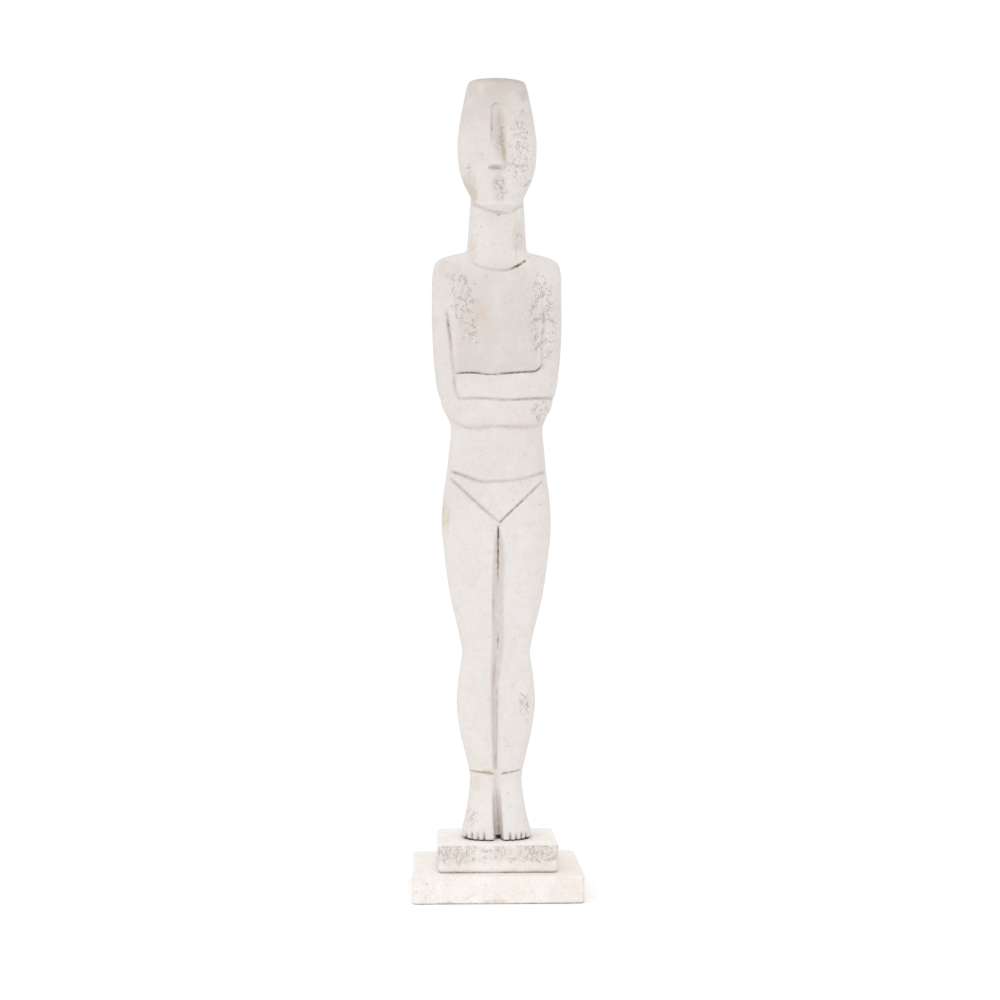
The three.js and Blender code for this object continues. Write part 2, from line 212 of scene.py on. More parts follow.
class Skin:
    """The smooth skin through a list of sections."""

    def __init__(self, sections: tuple[Section, ...]) -> None:
        """Fits a curve that never overshoots through each size of the sections.

        Args:
            sections: The sections from the lowest to the highest.
        """
        self.ups = np.array([s.up for s in sections], float)
        self.knots = {key: np.array([getattr(s, key) for s in sections], float) for key in SECTION_SIZES}
        self.slopes = {key: self._tangents(knots) for key, knots in self.knots.items()}

    def _tangents(self, knots: np.ndarray) -> np.ndarray:
        """Slope of the curve at each knot.

        Args:
            knots: The size at each section.

        Returns:
            The harmonic mean of the neighbouring slopes, or level where they turn.
        """
        rise = np.diff(knots) / np.diff(self.ups)
        before = np.concatenate([rise[:1], rise])
        after = np.concatenate([rise, rise[-1:]])
        same_way = before * after > 0
        total = np.where(same_way, before + after, 1.0)
        return np.where(same_way, 2.0 * before * after / total, 0.0)

    def at(self, key: str, up: np.ndarray) -> np.ndarray:
        """One size of the section at some heights.

        Args:
            key: The size's field name.
            up: Heights above the soles, in mm.

        Returns:
            The size at each height.
        """
        height = np.clip(up, self.ups[0], self.ups[-1])
        i = np.clip(np.searchsorted(self.ups, height, side="right") - 1, 0, len(self.ups) - 2)
        span = self.ups[i + 1] - self.ups[i]
        t = (height - self.ups[i]) / span
        knots, slopes = self.knots[key], self.slopes[key]
        start = (1.0 + 2.0 * t) * knots[i] + t * span * slopes[i]
        end = (3.0 - 2.0 * t) * knots[i + 1] + (t - 1.0) * span * slopes[i + 1]
        return (1.0 - t) ** 2 * start + t**2 * end

    def middle(self, up: np.ndarray) -> np.ndarray:
        """Depth of the section's centre."""
        return BODY_AXIS_Y + (self.at("back", up) - self.at("front", up)) / 2.0

    def excess(self, x: np.ndarray, y: np.ndarray, up: np.ndarray) -> np.ndarray:
        """How far points lie outside the skin, about in mm, and large above or below its ends.

        Args:
            x: Places across.
            y: Depths.
            up: Heights above the soles.

        Returns:
            The distances, negative inside.
        """
        half = self.at("half", up)
        depth = (self.at("back", up) + self.at("front", up)) / 2.0
        square = self.at("square", up)
        ring = np.abs(x / half) ** square + np.abs((y - self.middle(up)) / depth) ** square
        away = np.maximum(self.ups[0] - up, up - self.ups[-1])
        return (ring ** (1.0 / square) - 1.0) * np.minimum(half, depth) + 50.0 * np.maximum(away, 0.0)


SECTION_SIZES = ("half", "front", "back", "square")


@dataclass(frozen=True)
class CarvedLine:
    """An incised line, in mm: (x, height) places, width, depth, and how much brown wash it holds along it,
    which on some lines also paints shadow.
    """

    places: tuple[tuple[float, float], ...]
    width: float
    depth: float
    wash_and_shade: tuple[float, ...]
    side: Side = Side.FRONT

    def mirrored(self) -> CarvedLine:
        """The same line across the middle of the figure."""
        return replace(self, places=tuple((-x, up) for x, up in self.places))

    def curve(self, steps: int = 28) -> np.ndarray:
        """The line as points on a smooth curve through its places.

        Args:
            steps: Number of points.

        Returns:
            Points (x, height), shape (steps, 2).
        """
        knots = np.array(self.places, float)
        span = np.linalg.norm(np.diff(knots, axis=0), axis=1)
        share = np.concatenate([[0.0], np.cumsum(span)]) / span.sum()
        slopes = np.gradient(knots, share, axis=0) if len(knots) > 2 else np.tile(knots[1] - knots[0], (2, 1))
        t = np.linspace(0.0, 1.0, steps)
        i = np.clip(np.searchsorted(share, t, side="right") - 1, 0, len(knots) - 2)
        gap = (share[i + 1] - share[i])[:, None]
        u = (t[:, None] - share[i][:, None]) / gap
        start = (1.0 + 2.0 * u) * knots[i] + u * gap * slopes[i]
        end = (3.0 - 2.0 * u) * knots[i + 1] + (u - 1.0) * gap * slopes[i + 1]
        return (1.0 - u) ** 2 * start + u**2 * end


@dataclass(frozen=True)
class Patch:
    """An oval area on one side of the figure, in mm: centre, reach across and up, and strength."""

    x: float
    up: float
    across: float
    tall: float
    strength: float
    side: Side = Side.FRONT


@dataclass
class Nose:
    """The long wedge of the nose, in mm. The face has no other feature."""

    top_x: float = -1.6
    top_up: float = CROWN - 13.4
    top_half: float = 1.7
    foot_x: float = -0.3
    foot_up: float = CROWN - 46.9
    foot_half: float = 4.9
    proud: float = 3.0
    ridge: float = 0.42

    def height(self, x: np.ndarray, up: np.ndarray) -> np.ndarray:
        """How far the nose stands out of the face.

        Args:
            x: Places across, in mm.
            up: Heights above the soles, in mm.

        Returns:
            The height of the nose at each place, in mm.
        """
        share = np.clip((up - self.foot_up) / (self.top_up - self.foot_up), 0.0, 1.0)
        middle = self.foot_x + (self.top_x - self.foot_x) * share
        reach = self.foot_half + (self.top_half - self.foot_half) * share
        flank = np.clip((1.0 - np.abs(x - middle) / reach) / (1.0 - self.ridge), 0.0, 1.0)
        rounded = flank * (1.35 - 0.35 * flank**2)
        foot = smoothstep(self.foot_up - 0.2, self.foot_up + 0.2, up)
        top = smoothstep(self.top_up + 0.8, self.top_up - 1.5, up)
        return (0.25 + self.proud * (1.0 - share) ** 0.85) * rounded * foot * top


class Surface:
    """The figure's fine surface: rows of points from the soles up, each round from the front's middle."""

    def __init__(self, place: np.ndarray, up: np.ndarray, turn: np.ndarray) -> None:
        """Takes the smooth form and starts its layers of relief and colour empty.

        Args:
            place: Points in mm, shape (rows, columns, 3).
            up: Height of each row above the soles, in mm.
            turn: Share of the way round of each column, 0 at the front's middle.
        """
        self.place = place
        self.up = np.broadcast_to(up[:, None], place.shape[:2])
        self.x = place[..., 0]
        self.is_front = np.broadcast_to(np.abs((turn + 0.5) % 1.0 - 0.5) < 0.25, place.shape[:2])
        self.out = self._directions(place)
        self.layers = {name: np.zeros(place.shape[:2]) for name in ("relief", *STAIN_AND_SHADE_LAYERS)}

    @staticmethod
    def _directions(place: np.ndarray) -> np.ndarray:
        """Outward direction at each point.

        Args:
            place: Points in mm, shape (rows, columns, 3).

        Returns:
            Unit directions of the same shape.
        """
        along = np.roll(place, -1, axis=1) - np.roll(place, 1, axis=1)
        upward = np.gradient(place, axis=0)
        out = np.cross(along, upward)
        return out / np.maximum(np.linalg.norm(out, axis=-1, keepdims=True), 1e-9)

    def on(self, side: Side) -> np.ndarray:
        """Which points lie on a side."""
        return self.is_front if side is Side.FRONT else ~self.is_front

    def add(self, layer: str, amount: np.ndarray) -> None:
        """Adds to a layer."""
        self.layers[layer] = self.layers[layer] + amount

    def stain(self, layer: str, amount: np.ndarray) -> None:
        """Raises a layer to an amount where it lies below it."""
        self.layers[layer] = np.maximum(self.layers[layer], amount)

    def carve(self, line: CarvedLine, wander: np.ndarray) -> None:
        """Cuts an incised line and leaves its wash in it, which on some lines also paints shadow.

        Args:
            line: The line.
            wander: Noise over the surface, which makes its depth and edge uneven.
        """
        curve = line.curve()
        low = curve.min(axis=0) - 2.0 * line.width
        high = curve.max(axis=0) + 2.0 * line.width
        near = self.on(line.side) & (self.x > low[0]) & (self.x < high[0])
        near = near & (self.up > low[1]) & (self.up < high[1])
        spots = np.stack([self.x[near], self.up[near]], axis=-1)
        distance, share = self._from_curve(spots, curve)
        distance = distance + 0.12 * wander[near]
        fade = np.clip(0.35 + 6.0 * np.minimum(share, 1.0 - share), 0.0, 1.0)
        uneven = 1.0 + 0.3 * wander[near]
        cut = np.clip(1.0 - distance / (0.5 * line.width), 0.0, 1.0) ** 1.15
        relief = np.zeros_like(self.x)
        relief[near] = -line.depth * fade * uneven * cut
        self.add("relief", relief)
        strength = np.interp(share, np.linspace(0.0, 1.0, len(line.wash_and_shade)), line.wash_and_shade)
        wash_and_shade = np.zeros_like(self.x)
        wash_and_shade[near] = strength * uneven * smoothstep(0.72 * line.width, 0.12 * line.width, distance)
        self.stain("wash_and_shade", wash_and_shade)

    @staticmethod
    def _from_curve(spots: np.ndarray, curve: np.ndarray) -> tuple[np.ndarray, np.ndarray]:
        """Finds the nearest point of a curve.

        Args:
            spots: Points (x, height), shape (n, 2).
            curve: The curve as points.

        Returns:
            Distance of each spot, and how far along the curve its nearest point lies, as a share.
        """
        best = np.full(len(spots), np.inf)
        share = np.zeros(len(spots))
        for k, (start, end) in enumerate(zip(curve[:-1], curve[1:])):
            run = end - start
            t = np.clip((spots - start) @ run / (run @ run), 0.0, 1.0)
            distance = np.linalg.norm(spots - start - t[:, None] * run, axis=-1)
            nearer = distance < best
            best = np.where(nearer, distance, best)
            share = np.where(nearer, (k + t) / (len(curve) - 1), share)
        return best, share

    def patch(self, layer: str, patch: Patch, breakup: np.ndarray) -> None:
        """Lays an oval patch with a broken edge on a layer.

        Args:
            layer: The layer's name.
            patch: The patch.
            breakup: Noise over the surface.
        """
        across = (self.x - patch.x) / patch.across
        tall = (self.up - patch.up) / patch.tall
        reach = np.sqrt(across**2 + tall**2) + 0.35 * breakup
        self.stain(layer, patch.strength * smoothstep(1.25, 0.45, reach) * self.on(patch.side))

    def pit(self, count: int, radii: tuple[float, float], depth: float, seed: int) -> None:
        """Sinks open pores where the pore layer is strong.

        Args:
            count: Number of pores.
            radii: Smallest and largest radius in mm.
            depth: Depth as a share of the radius.
            seed: Starts the random draw.
        """
        draw = np.random.default_rng(seed)
        weight = np.clip(self.layers["pores"], 0.0, 1.0) ** 2.2 * self._areas()
        spots = draw.choice(weight.size, size=count, p=(weight / weight.sum()).ravel())
        sizes = draw.uniform(0.0, 1.0, count) ** 2.0 * (radii[1] - radii[0]) + radii[0]
        stretch = draw.uniform(0.75, 1.35, count)
        rows, columns = np.unravel_index(spots, weight.shape)
        ups = self.up[:, 0]
        for row, column, size, wide in zip(rows, columns, sizes, stretch):
            low, high = np.searchsorted(ups, [ups[row] - size * 1.4, ups[row] + size * 1.4])
            offset = self.place[low:high] - self.place[row, column]
            offset[..., 0] *= wide
            hollow = mound(np.linalg.norm(offset, axis=-1), size)
            self.layers["relief"][low:high] -= depth * size * hollow
            self.layers["wash_and_shade"][low:high] = np.maximum(self.layers["wash_and_shade"][low:high], 0.15 * hollow)

    def _areas(self) -> np.ndarray:
        """Area that each point stands for.

        Returns:
            Areas in square mm.
        """
        along = np.linalg.norm(np.roll(self.place, -1, axis=1) - self.place, axis=-1)
        upward = np.linalg.norm(np.gradient(self.place, axis=0), axis=-1)
        return along * upward

    def finished(self) -> np.ndarray:
        """The points with their relief."""
        return self.place + self.out * self.layers["relief"][..., None]


# Layers of stains; the wash and soil layers carry painted shade as well.
STAIN_AND_SHADE_LAYERS = ("wash_and_shade", "ochre", "pores", "soil_and_shade")


# --- Carving of the figure ---

FRONT_LINES = (
    CarvedLine(  # collar
        ((-13.9, 282.9), (-10, 279.2), (-5.2, 277.7), (-0.8, 277), (5.1, 277.2), (9.7, 279.2), (13.4, 281.7)),
        1.6,
        0.6,
        (0.05, 0.18, 0.2, 0.22, 0.45, 1.1, 0.75),
    ),
    CarvedLine(  # between the right arm and the chest
        (
            *((-25.0, 256.9), (-24.0, 249.3), (-22.9, 240.8), (-22.4, 234)),
            *((-21.4, 226.3), (-20.2, 217.3), (-18.9, 214.1)),
        ),
        1.9,
        0.8,
        (0.3, 0.75, 0.6, 0.3, 0.25, 0.3, 0.25),
    ),
    CarvedLine(  # between the left arm and the chest
        ((21.8, 263.3), (22.8, 253.3), (21.6, 239.9), (21.8, 229.9)),
        2.2,
        0.6,
        (0.1, 0.3, 0.25, 0.3),
    ),
    CarvedLine(  # upper edge of the upper forearm: brown wash in the cut, darkened further as painted shadow under the chest's edge
        (
            *((-20.4, 226.2), (-15.9, 226.7), (-1.5, 225.9), (3.9, 226.4)),
            *((12.4, 227.2), (19.8, 228.3), (21.4, 230.3)),
        ),
        1.1,
        0.9,
        (0.75, 0.95, 0.8, 0.85, 0.95, 0.85, 0.75),
    ),
    CarvedLine(  # between the forearms
        ((-18.9, 213.9), (-9.5, 214.2), (4.9, 213.4), (17.2, 214.2), (28.6, 214.6)),
        1.7,
        0.8,
        (0.25, 0.42, 0.42, 0.5, 0.45),
    ),
    CarvedLine(  # lower edge of the lower forearm
        ((-22.9, 204.8), (-17.4, 200.8), (0, 200.6), (16.7, 200.8), (22.3, 202.9)),
        1.8,
        0.2,
        (0.1, 0.3, 0.25, 0.3, 0.15),
    ),
    CarvedLine(  # belly
        (
            *((-21.7, 178.5), (-18.4, 177.3), (-11, 174.5), (-7.6, 173.7)),
            *((-1.5, 173.8), (10.4, 174.7), (22.3, 178.1)),
        ),
        1.8,
        0.65,
        (0.62, 0.62, 0.5, 0.35, 0.25, 0.3, 0.5),
    ),
    CarvedLine(((-22.4, 174.8), (-13.4, 166.4), (-7.6, 161.1), (0, 154.6)), 1.6, 0.7, (0.5, 0.6, 0.5, 0.3)),
    CarvedLine(((21.8, 173.6), (12.4, 164.6), (3.9, 156.6), (1.2, 153.9)), 1.2, 0.75, (0.55, 0.7, 0.8, 0.8)),
    CarvedLine(((-12.8, 31.7), (-7, 31.3), (-2, 30.8)), 1.3, 0.6, (0.5, 0.6, 0.85)),
    CarvedLine(((2.6, 30.7), (7, 31.4), (11.6, 32.1)), 1.2, 0.6, (0.65, 0.7, 0.5)),
    CarvedLine(  # under the chin: a shallow cut whose brown is painted shadow
        ((-12, 309.8), (-6.7, 307.1), (0.2, 305.4), (6, 305.7), (12, 309.4)),
        1.5,
        0.3,
        (0.3, 0.2, 0.45, 0.2, 0.3),
    ),
    CarvedLine(((-4.6, 326.8), (-1.5, 326.7), (1.2, 326.6)), 1.0, 0.25, (0.3, 0.6, 0.4)),  # painted shadow line under the nose, in a shallow cut
    CarvedLine(((-3.2, 358.0), (-1.6, 359.3), (0.2, 359.9)), 1.1, 0.25, (0.35, 0.75, 0.5)),  # top of the nose
    CarvedLine(((-2.6, 357.4), (-2.9, 350.7), (-2.8, 340.6)), 1.7, 0.15, (0.25, 0.6, 0.5)),
    CarvedLine(((9.0, 292.9), (10.4, 295.3), (12.6, 293.6)), 1.1, 0.3, (0.3, 0.5, 0.4)),  # neck scratch
    CarvedLine(((9.2, 290.3), (9.0, 282.8)), 0.9, 0.15, (0.3, 0.2)),
)
BACK_PAIRS = (
    CarvedLine(((22.8, 261.3), (21.6, 235.3), (19.8, 207.3)), 2.0, 0.9, (0.3, 0.5, 0.4), Side.BACK),  # arm
    CarvedLine(((16, 138.9), (8, 134.9), (2.4, 133.9)), 1.6, 0.6, (0.2, 0.5, 0.5), Side.BACK),  # seat
    CarvedLine(((13, 89.7), (8, 88.7), (2.4, 89.7)), 1.3, 0.5, (0.3, 0.5, 0.4), Side.BACK),  # knee
    CarvedLine(((11.5, 31.4), (7, 30.6), (2, 30.4)), 1.2, 0.6, (0.4, 0.6, 0.6), Side.BACK),  # ankle
)
BACK_LINES = (
    CarvedLine(((0, 271.3), (0.3, 229.3), (0, 187.2)), 2.4, 0.9, (0.3, 0.5, 0.4), Side.BACK),  # spine
    CarvedLine(((-12.8, 290.3), (0, 287.3), (12.8, 290.3)), 1.5, 0.5, (0.3, 0.4, 0.3), Side.BACK),  # neck
    *BACK_PAIRS,
    *(line.mirrored() for line in BACK_PAIRS),
)
PORE_PATCHES = (
    Patch(11.4, 334, 7.0, 28, 0.8),  # left cheek
    Patch(-13.9, 327.2, 3, 7, 0.7),  # right jaw
    Patch(1.2, 316.2, 5.5, 8, 0.9),  # under the nose
    Patch(1.5, 342.2, 2.8, 10, 0.9),  # flank of the nose
    Patch(11, 353.2, 5, 7, 0.5),  # temple
    Patch(-16.8, 263.7, 9.0, 20, 0.7),  # chest
    Patch(-12, 246.2, 5.5, 8, 0.8),
    Patch(22, 255, 9.5, 28, 0.8),  # left shoulder and arm
    Patch(21, 208.8, 6, 7, 0.8),  # left elbow
    Patch(11, 171.1, 8, 5, 0.5),  # groin
    Patch(6, 145, 7, 8, 0.4),
    Patch(13.8, 64, 4.5, 9, 0.75),  # left calf
    Patch(-12, 10.7, 4, 6, 0.7),  # right foot
    Patch(-14, 299.3, 12, 30, 0.45, Side.BACK),
    Patch(12, 249.3, 14, 22, 0.7, Side.BACK),
    Patch(-9, 165.1, 12, 22, 0.6, Side.BACK),
    Patch(9, 344.2, 9, 20, 0.7, Side.BACK),
    Patch(8, 68.6, 8, 18, 0.6, Side.BACK),
)
OCHRE_PATCHES = (
    Patch(-11.5, 313.7, 2.2, 4, 0.7),
    Patch(-12, 287.6, 2.2, 7, 0.4),
    Patch(-24.8, 156.8, 2.2, 9, 0.5),
    Patch(-4.3, 31.2, 2.6, 1.6, 1.0),
    Patch(-9.5, 254.5, 6, 9, 0.3),
    Patch(2.5, 337.2, 2.5, 11, 0.4),
    Patch(-10.5, 25.9, 3, 4, 0.4),
    Patch(6, 118.8, 12, 30, 0.25, Side.BACK),
    Patch(-8, 261.3, 12, 20, 0.3, Side.BACK),
)
SOIL_PATCHES = (
    Patch(-13.9, 320, 4, 9, 0.75),  # right jaw
    Patch(9.5, 293, 4, 9, 0.6),  # neck
    Patch(-23, 277, 7, 6, 0.6),  # right shoulder
    Patch(12.8, 364, 2.4, 4.5, 1.2),  # corner of the head
)
WASH_AND_SHADE_PATCHES = (
    Patch(0.4, 343, 3.8, 15, 0.4),  # the nose
    # browner band down the lower right flank of the nose
    Patch(2.6, 334.5, 1.8, 6.5, 0.5),
    Patch(0.3, 316.7, 4.2, 8, 0.22),  # under the nose
    Patch(0.3, 304.4, 1.0, 0.8, 0.7),  # pit under the chin
    Patch(0.8, 1.5, 1.7, 3.6, 1.2),  # painted shade in the gap between the two feet at the sole
    Patch(-11.1, 299.8, 0.5, 0.5, 0.5),  # single pits on the neck
    Patch(-7.9, 298.6, 0.6, 0.5, 0.5),
    Patch(-9.8, 294.3, 0.6, 0.6, 0.5),
)
CLEFT_LINES = (
    CarvedLine(((0.45, 152), (0.4, 138), (0.4, 123.4)), 1.2, 0.8, (1.1, 1.0, 0.85, 0.4)),
    CarvedLine(((-1.7, 120.5), (-1.7, 103.6)), 1.2, 0.3, (0.2, 0.55, 0.45, 0.1)),
    CarvedLine(((0.45, 101), (0.45, 91.4)), 1.0, 0.5, (0.3, 0.8, 0.4)),
    CarvedLine(((-0.3, 89), (-1.2, 81), (-1.6, 71)), 2.2, 0.5, (0.3, 0.5, 0.5, 0.3)),
    CarvedLine(((-1.5, 71.5), (-1.2, 52), (-0.9, 33.2)), 1.4, 0.4, (0.3, 0.35, 0.35)),
    CarvedLine(((-0.1, 71.5), (-0.1, 52), (-0.2, 33.2)), 1.1, 0.6, (0.45, 0.5, 0.5)),
    CarvedLine(((0.2, 23.6), (0.8, 12), (1.3, 0.5)), 1.2, 0.5, (0.35, 0.6, 0.9)),
)
# The channel between the legs in front, by height above the soles: place of its middle, half its width, its
# depth, how flat its floor is, and the wash that the floor holds.
CLEFT_HEIGHTS = (0, 12, 19, 24, 31, 36, 60, 74, 84, 96, 104, 122, 136, 144, 149, 151.6, 153)
CLEFT = {
    "middle": (0.8, 0.3, 0.1, 0.1, -0.1, -0.5, -0.9, -0.9, -0.2, 0.7, 0.4, 0.4, 0.9, 0.9, 0.6, 0.45, 0.45),
    "half": (2.0, 2.0, 1.9, 1.5, 1.3, 1.5, 1.8, 1.9, 2.4, 2.7, 2.6, 2.6, 2.6, 2.2, 1.4, 0.5, 0.3),
    "deep": (8.0, 5.0, 3.2, 1.6, 1.2, 1.4, 1.6, 1.6, 1.5, 1.5, 1.5, 1.5, 1.4, 1.2, 0.9, 0.4, 0.0),
    "flat": (0.9, 0.8, 0.7, 0.4, 0.1, 0.1, 0.1, 0.2, 0.6, 0.8, 0.8, 0.8, 0.8, 0.6, 0.3, 0.0, 0.0),
    "wash_and_shade": (0.5, 0.35, 0.3, 0.12, 0.08, 0.2, 0.25, 0.3, 0.25, 0.28, 0.3, 0.33, 0.36, 0.36, 0.3, 0.1, 0.0),
}
# Painted shade, darker towards the head: share of the darker tone by height above the soles.
PAINTED_SHADE_HEIGHTS = (0, 129, 174, 214, 227, 261, 284, 305, 324, 344, 361, 371.5, 373.9)
PAINTED_SHADE_AMOUNTS = (0.03, 0.05, 0.21, 0.18, 0.3, 0.3, 0.21, 0.18, 0.25, 0.3, 0.75, 0.95, 1.3)


@dataclass
class Figure:
    """The figure: one casting from the crown to the soles.

    Sizes are in mm. The rows and columns are closest where the carving is finest.
    """

    low: Vector
    high: Vector
    columns: int = 184
    row_pitch: float = 0.96
    fine_bands: tuple[tuple[float, float, float], ...] = (
        (0, 8, 0.4),
        (28.5, 33.5, 0.45),
        (152, 181, 0.65),
        (198, 204, 0.45),
        (211, 217, 0.45),
        (224.3, 232.3, 0.4),
        (275.3, 291.3, 0.42),
        (303, 315, 0.42),
        (325.5, 328.3, 0.22),
        (CROWN - 5, CROWN, 0.3),
    )
    directions: int = 480
    front_weight: float = 1.4
    right_toe_cuts: tuple[float, ...] = (6.3, 9.3, 12.3, 15.0)
    left_toe_cuts: tuple[float, ...] = (6.3, 9.3, 11.9, 14.2)
    toe_top: float = 5.4
    chest_top: float = 261.3
    chest_half: float = 20.9
    chest_depth: float = 1.25
    forearm_top: float = 226.3
    forearm_split: float = 214.1
    forearm_foot: float = 201.2
    crown_rings: int = 6

    def build(self) -> bpy.types.Object:
        """Makes the figure's mesh.

        Returns:
            The object, with its layers of stains and painted shade as attributes.
        """
        surface = self._smooth_form()
        self._model(surface)
        self._incise(surface)
        self._weather(surface)
        return self._mesh(surface)

    def _row_heights(self) -> np.ndarray:
        """Heights of the rows, closer together in the fine bands.

        Returns:
            Heights above the soles in mm.
        """
        up = np.linspace(0.0, CROWN, 7500)
        pitch = np.full_like(up, self.row_pitch)
        for low, high, fine in self.fine_bands:
            inside = smoothstep(low - 2.0, low, up) * smoothstep(high + 2.0, high, up)
            pitch = np.minimum(pitch, self.row_pitch + (fine - self.row_pitch) * inside)
        rows = np.concatenate([[0.0], np.cumsum(np.diff(up) / pitch[1:])])
        count = int(round(rows[-1]))
        return np.interp(np.linspace(0.0, rows[-1], count + 1), rows, up)

    def _column_turns(self) -> np.ndarray:
        """Places of the columns. The front gets most of them.

        Returns:
            Share of the way round of each column.
        """
        turn = np.linspace(-0.5, 0.5, 4001)
        weight = 1.0 + self.front_weight * smoothstep(-0.25, 0.15, np.cos(2.0 * np.pi * turn))
        total = np.concatenate([[0.0], np.cumsum((weight[1:] + weight[:-1]) / 2.0)])
        total = (total - np.interp(0.0, turn, total)) / total[-1]
        wanted = np.arange(self.columns) / self.columns
        wanted = np.where(wanted >= 0.5, wanted - 1.0, wanted)
        return np.interp(wanted, total, turn) % 1.0

    def _smooth_form(self) -> Surface:
        """The body and head as one skin, before any carving.

        Returns:
            The surface, with its layers empty.
        """
        body = Skin(BODY_SECTIONS)
        head = Skin(HEAD_SECTIONS)
        ups = self._row_heights()
        turns = self._column_turns()
        angle = np.linspace(0.0, 2.0 * np.pi, self.directions, endpoint=False) - np.pi / 2.0
        up = np.broadcast_to(ups[:, None], (len(ups), self.directions))
        rise = smoothstep(CROWN - 66.0, CROWN - 44.0, up)
        centre = (1.0 - rise) * body.middle(up) + rise * head.middle(up)
        inner, outer = np.full(up.shape, 0.5), np.full(up.shape, 45.0)
        for _ in range(22):
            radius = (inner + outer) / 2.0
            x, y = radius * np.cos(angle), centre + radius * np.sin(angle)
            outside = self._joined(body.excess(x, y, up), head.excess(x, y, up)) > 0.0
            inner, outer = np.where(outside, inner, radius), np.where(outside, radius, outer)
        ring = np.stack([inner * np.cos(angle), centre + inner * np.sin(angle)], axis=-1)
        place = np.empty((len(ups), self.columns, 3))
        for row, points in enumerate(ring):
            closed = np.vstack([points, points[:1]])
            length = np.concatenate([[0.0], np.cumsum(np.linalg.norm(np.diff(closed, axis=0), axis=1))])
            for axis in range(2):
                place[row, :, axis] = np.interp(turns * length[-1], length, closed[:, axis])
        place[..., 2] = self.low.z / MM + ups[:, None]
        return Surface(place, ups, turns)

    @staticmethod
    def _joined(one: np.ndarray, other: np.ndarray, softness: float = 0.5) -> np.ndarray:
        """Joins two forms with a small fillet.

        Args:
            one: Distance outside the first form.
            other: Distance outside the second.
            softness: Size of the fillet in mm.

        Returns:
            Distance outside both.
        """
        blend = np.clip(0.5 + 0.5 * (other - one) / softness, 0.0, 1.0)
        return other * (1.0 - blend) + one * blend - softness * blend * (1.0 - blend)

    def _model(self, surface: Surface) -> None:
        """Raises and sinks the broad forms: nose, chest, forearms, legs and toes.

        Args:
            surface: The surface, which it changes.
        """
        x, up, front = surface.x, surface.up, surface.is_front
        surface.add("relief", Nose().height(x, up) * front)

        edge = self.forearm_top + 0.25 * np.clip(x / 10.0, -1.0, 3.0) ** 2 * (x > 0)
        panel = smoothstep(self.chest_half + 0.8, self.chest_half - 1.6, np.abs(x))
        sink = np.clip((self.chest_top - up) / (self.chest_top - self.forearm_top), 0.0, 1.0) ** 1.3
        above = smoothstep(edge - 0.2, edge + 0.25, up)
        surface.add("relief", -self.chest_depth * panel * sink * above * front)

        for low, high in ((self.forearm_split, self.forearm_top), (self.forearm_foot, self.forearm_split)):
            t = np.clip(2.0 * (up - low) / (high - low) - 1.0, -1.0, 1.0)
            surface.add("relief", 0.4 * (1.0 - t**4) * front)

        self._part_legs(surface)
        self._shape_toes(surface)

    def _part_legs(self, surface: Surface) -> None:
        """The channel between the legs in front, and the plain cut behind.

        Args:
            surface: The surface, which it changes.
        """
        x, up = surface.x, surface.up
        channel = {key: np.interp(up, CLEFT_HEIGHTS, values) for key, values in CLEFT.items()}
        offset = np.abs(x - channel["middle"])
        wall = smoothstep(channel["half"] + 0.7, channel["half"] - 0.8, offset)
        slant = np.clip(1.0 - offset / (channel["half"] + 0.5), 0.0, 1.0)
        floor = channel["flat"] * wall + (1.0 - channel["flat"]) * slant
        surface.add("relief", -channel["deep"] * floor * surface.is_front)
        shade = smoothstep(channel["half"] + 0.8, channel["half"] - 1.2, offset)
        surface.stain("wash_and_shade", channel["wash_and_shade"] * shade * surface.is_front)

        start = smoothstep(163.0, 154.0, up)
        foot = smoothstep(22.0, 4.0, up)
        slope = np.exp(-((np.abs(x) / 2.6) ** 2))
        line = np.clip(1.0 - np.abs(x) / 0.8, 0.0, 1.0)
        surface.add("relief", -start * ((1.6 + 2.4 * foot) * slope + 0.9 * line) * ~surface.is_front)
        surface.stain("wash_and_shade", 0.5 * start * smoothstep(1.2, 0.2, np.abs(x)) * ~surface.is_front)

    def _shape_toes(self, surface: Surface) -> None:
        """Toes as short rounded bars with brown cuts between them, drawn under at the sole, with painted
        shade along the sole.

        Args:
            surface: The surface, which it changes.
        """
        for sign, cuts in ((-1.0, self.right_toe_cuts), (1.0, self.left_toe_cuts)):
            self._shape_foot(surface, sign, cuts)
        x, up, front = np.abs(surface.x), surface.up, surface.is_front
        outer_toes = 0.9 + 0.5 * smoothstep(8.0, 16.0, x)
        sole = smoothstep(1.0, 0.0, up / outer_toes)
        surface.add("relief", -1.0 * sole**1.3)
        # Painted shade: a dark line along the foot of the toes and all round the sole, where the figure meets
        # the slab.
        surface.stain("wash_and_shade", 1.3 * smoothstep(1.15, 0.45, up / outer_toes) * front)
        surface.stain("wash_and_shade", 0.5 * smoothstep(1.4, 0.2, up))

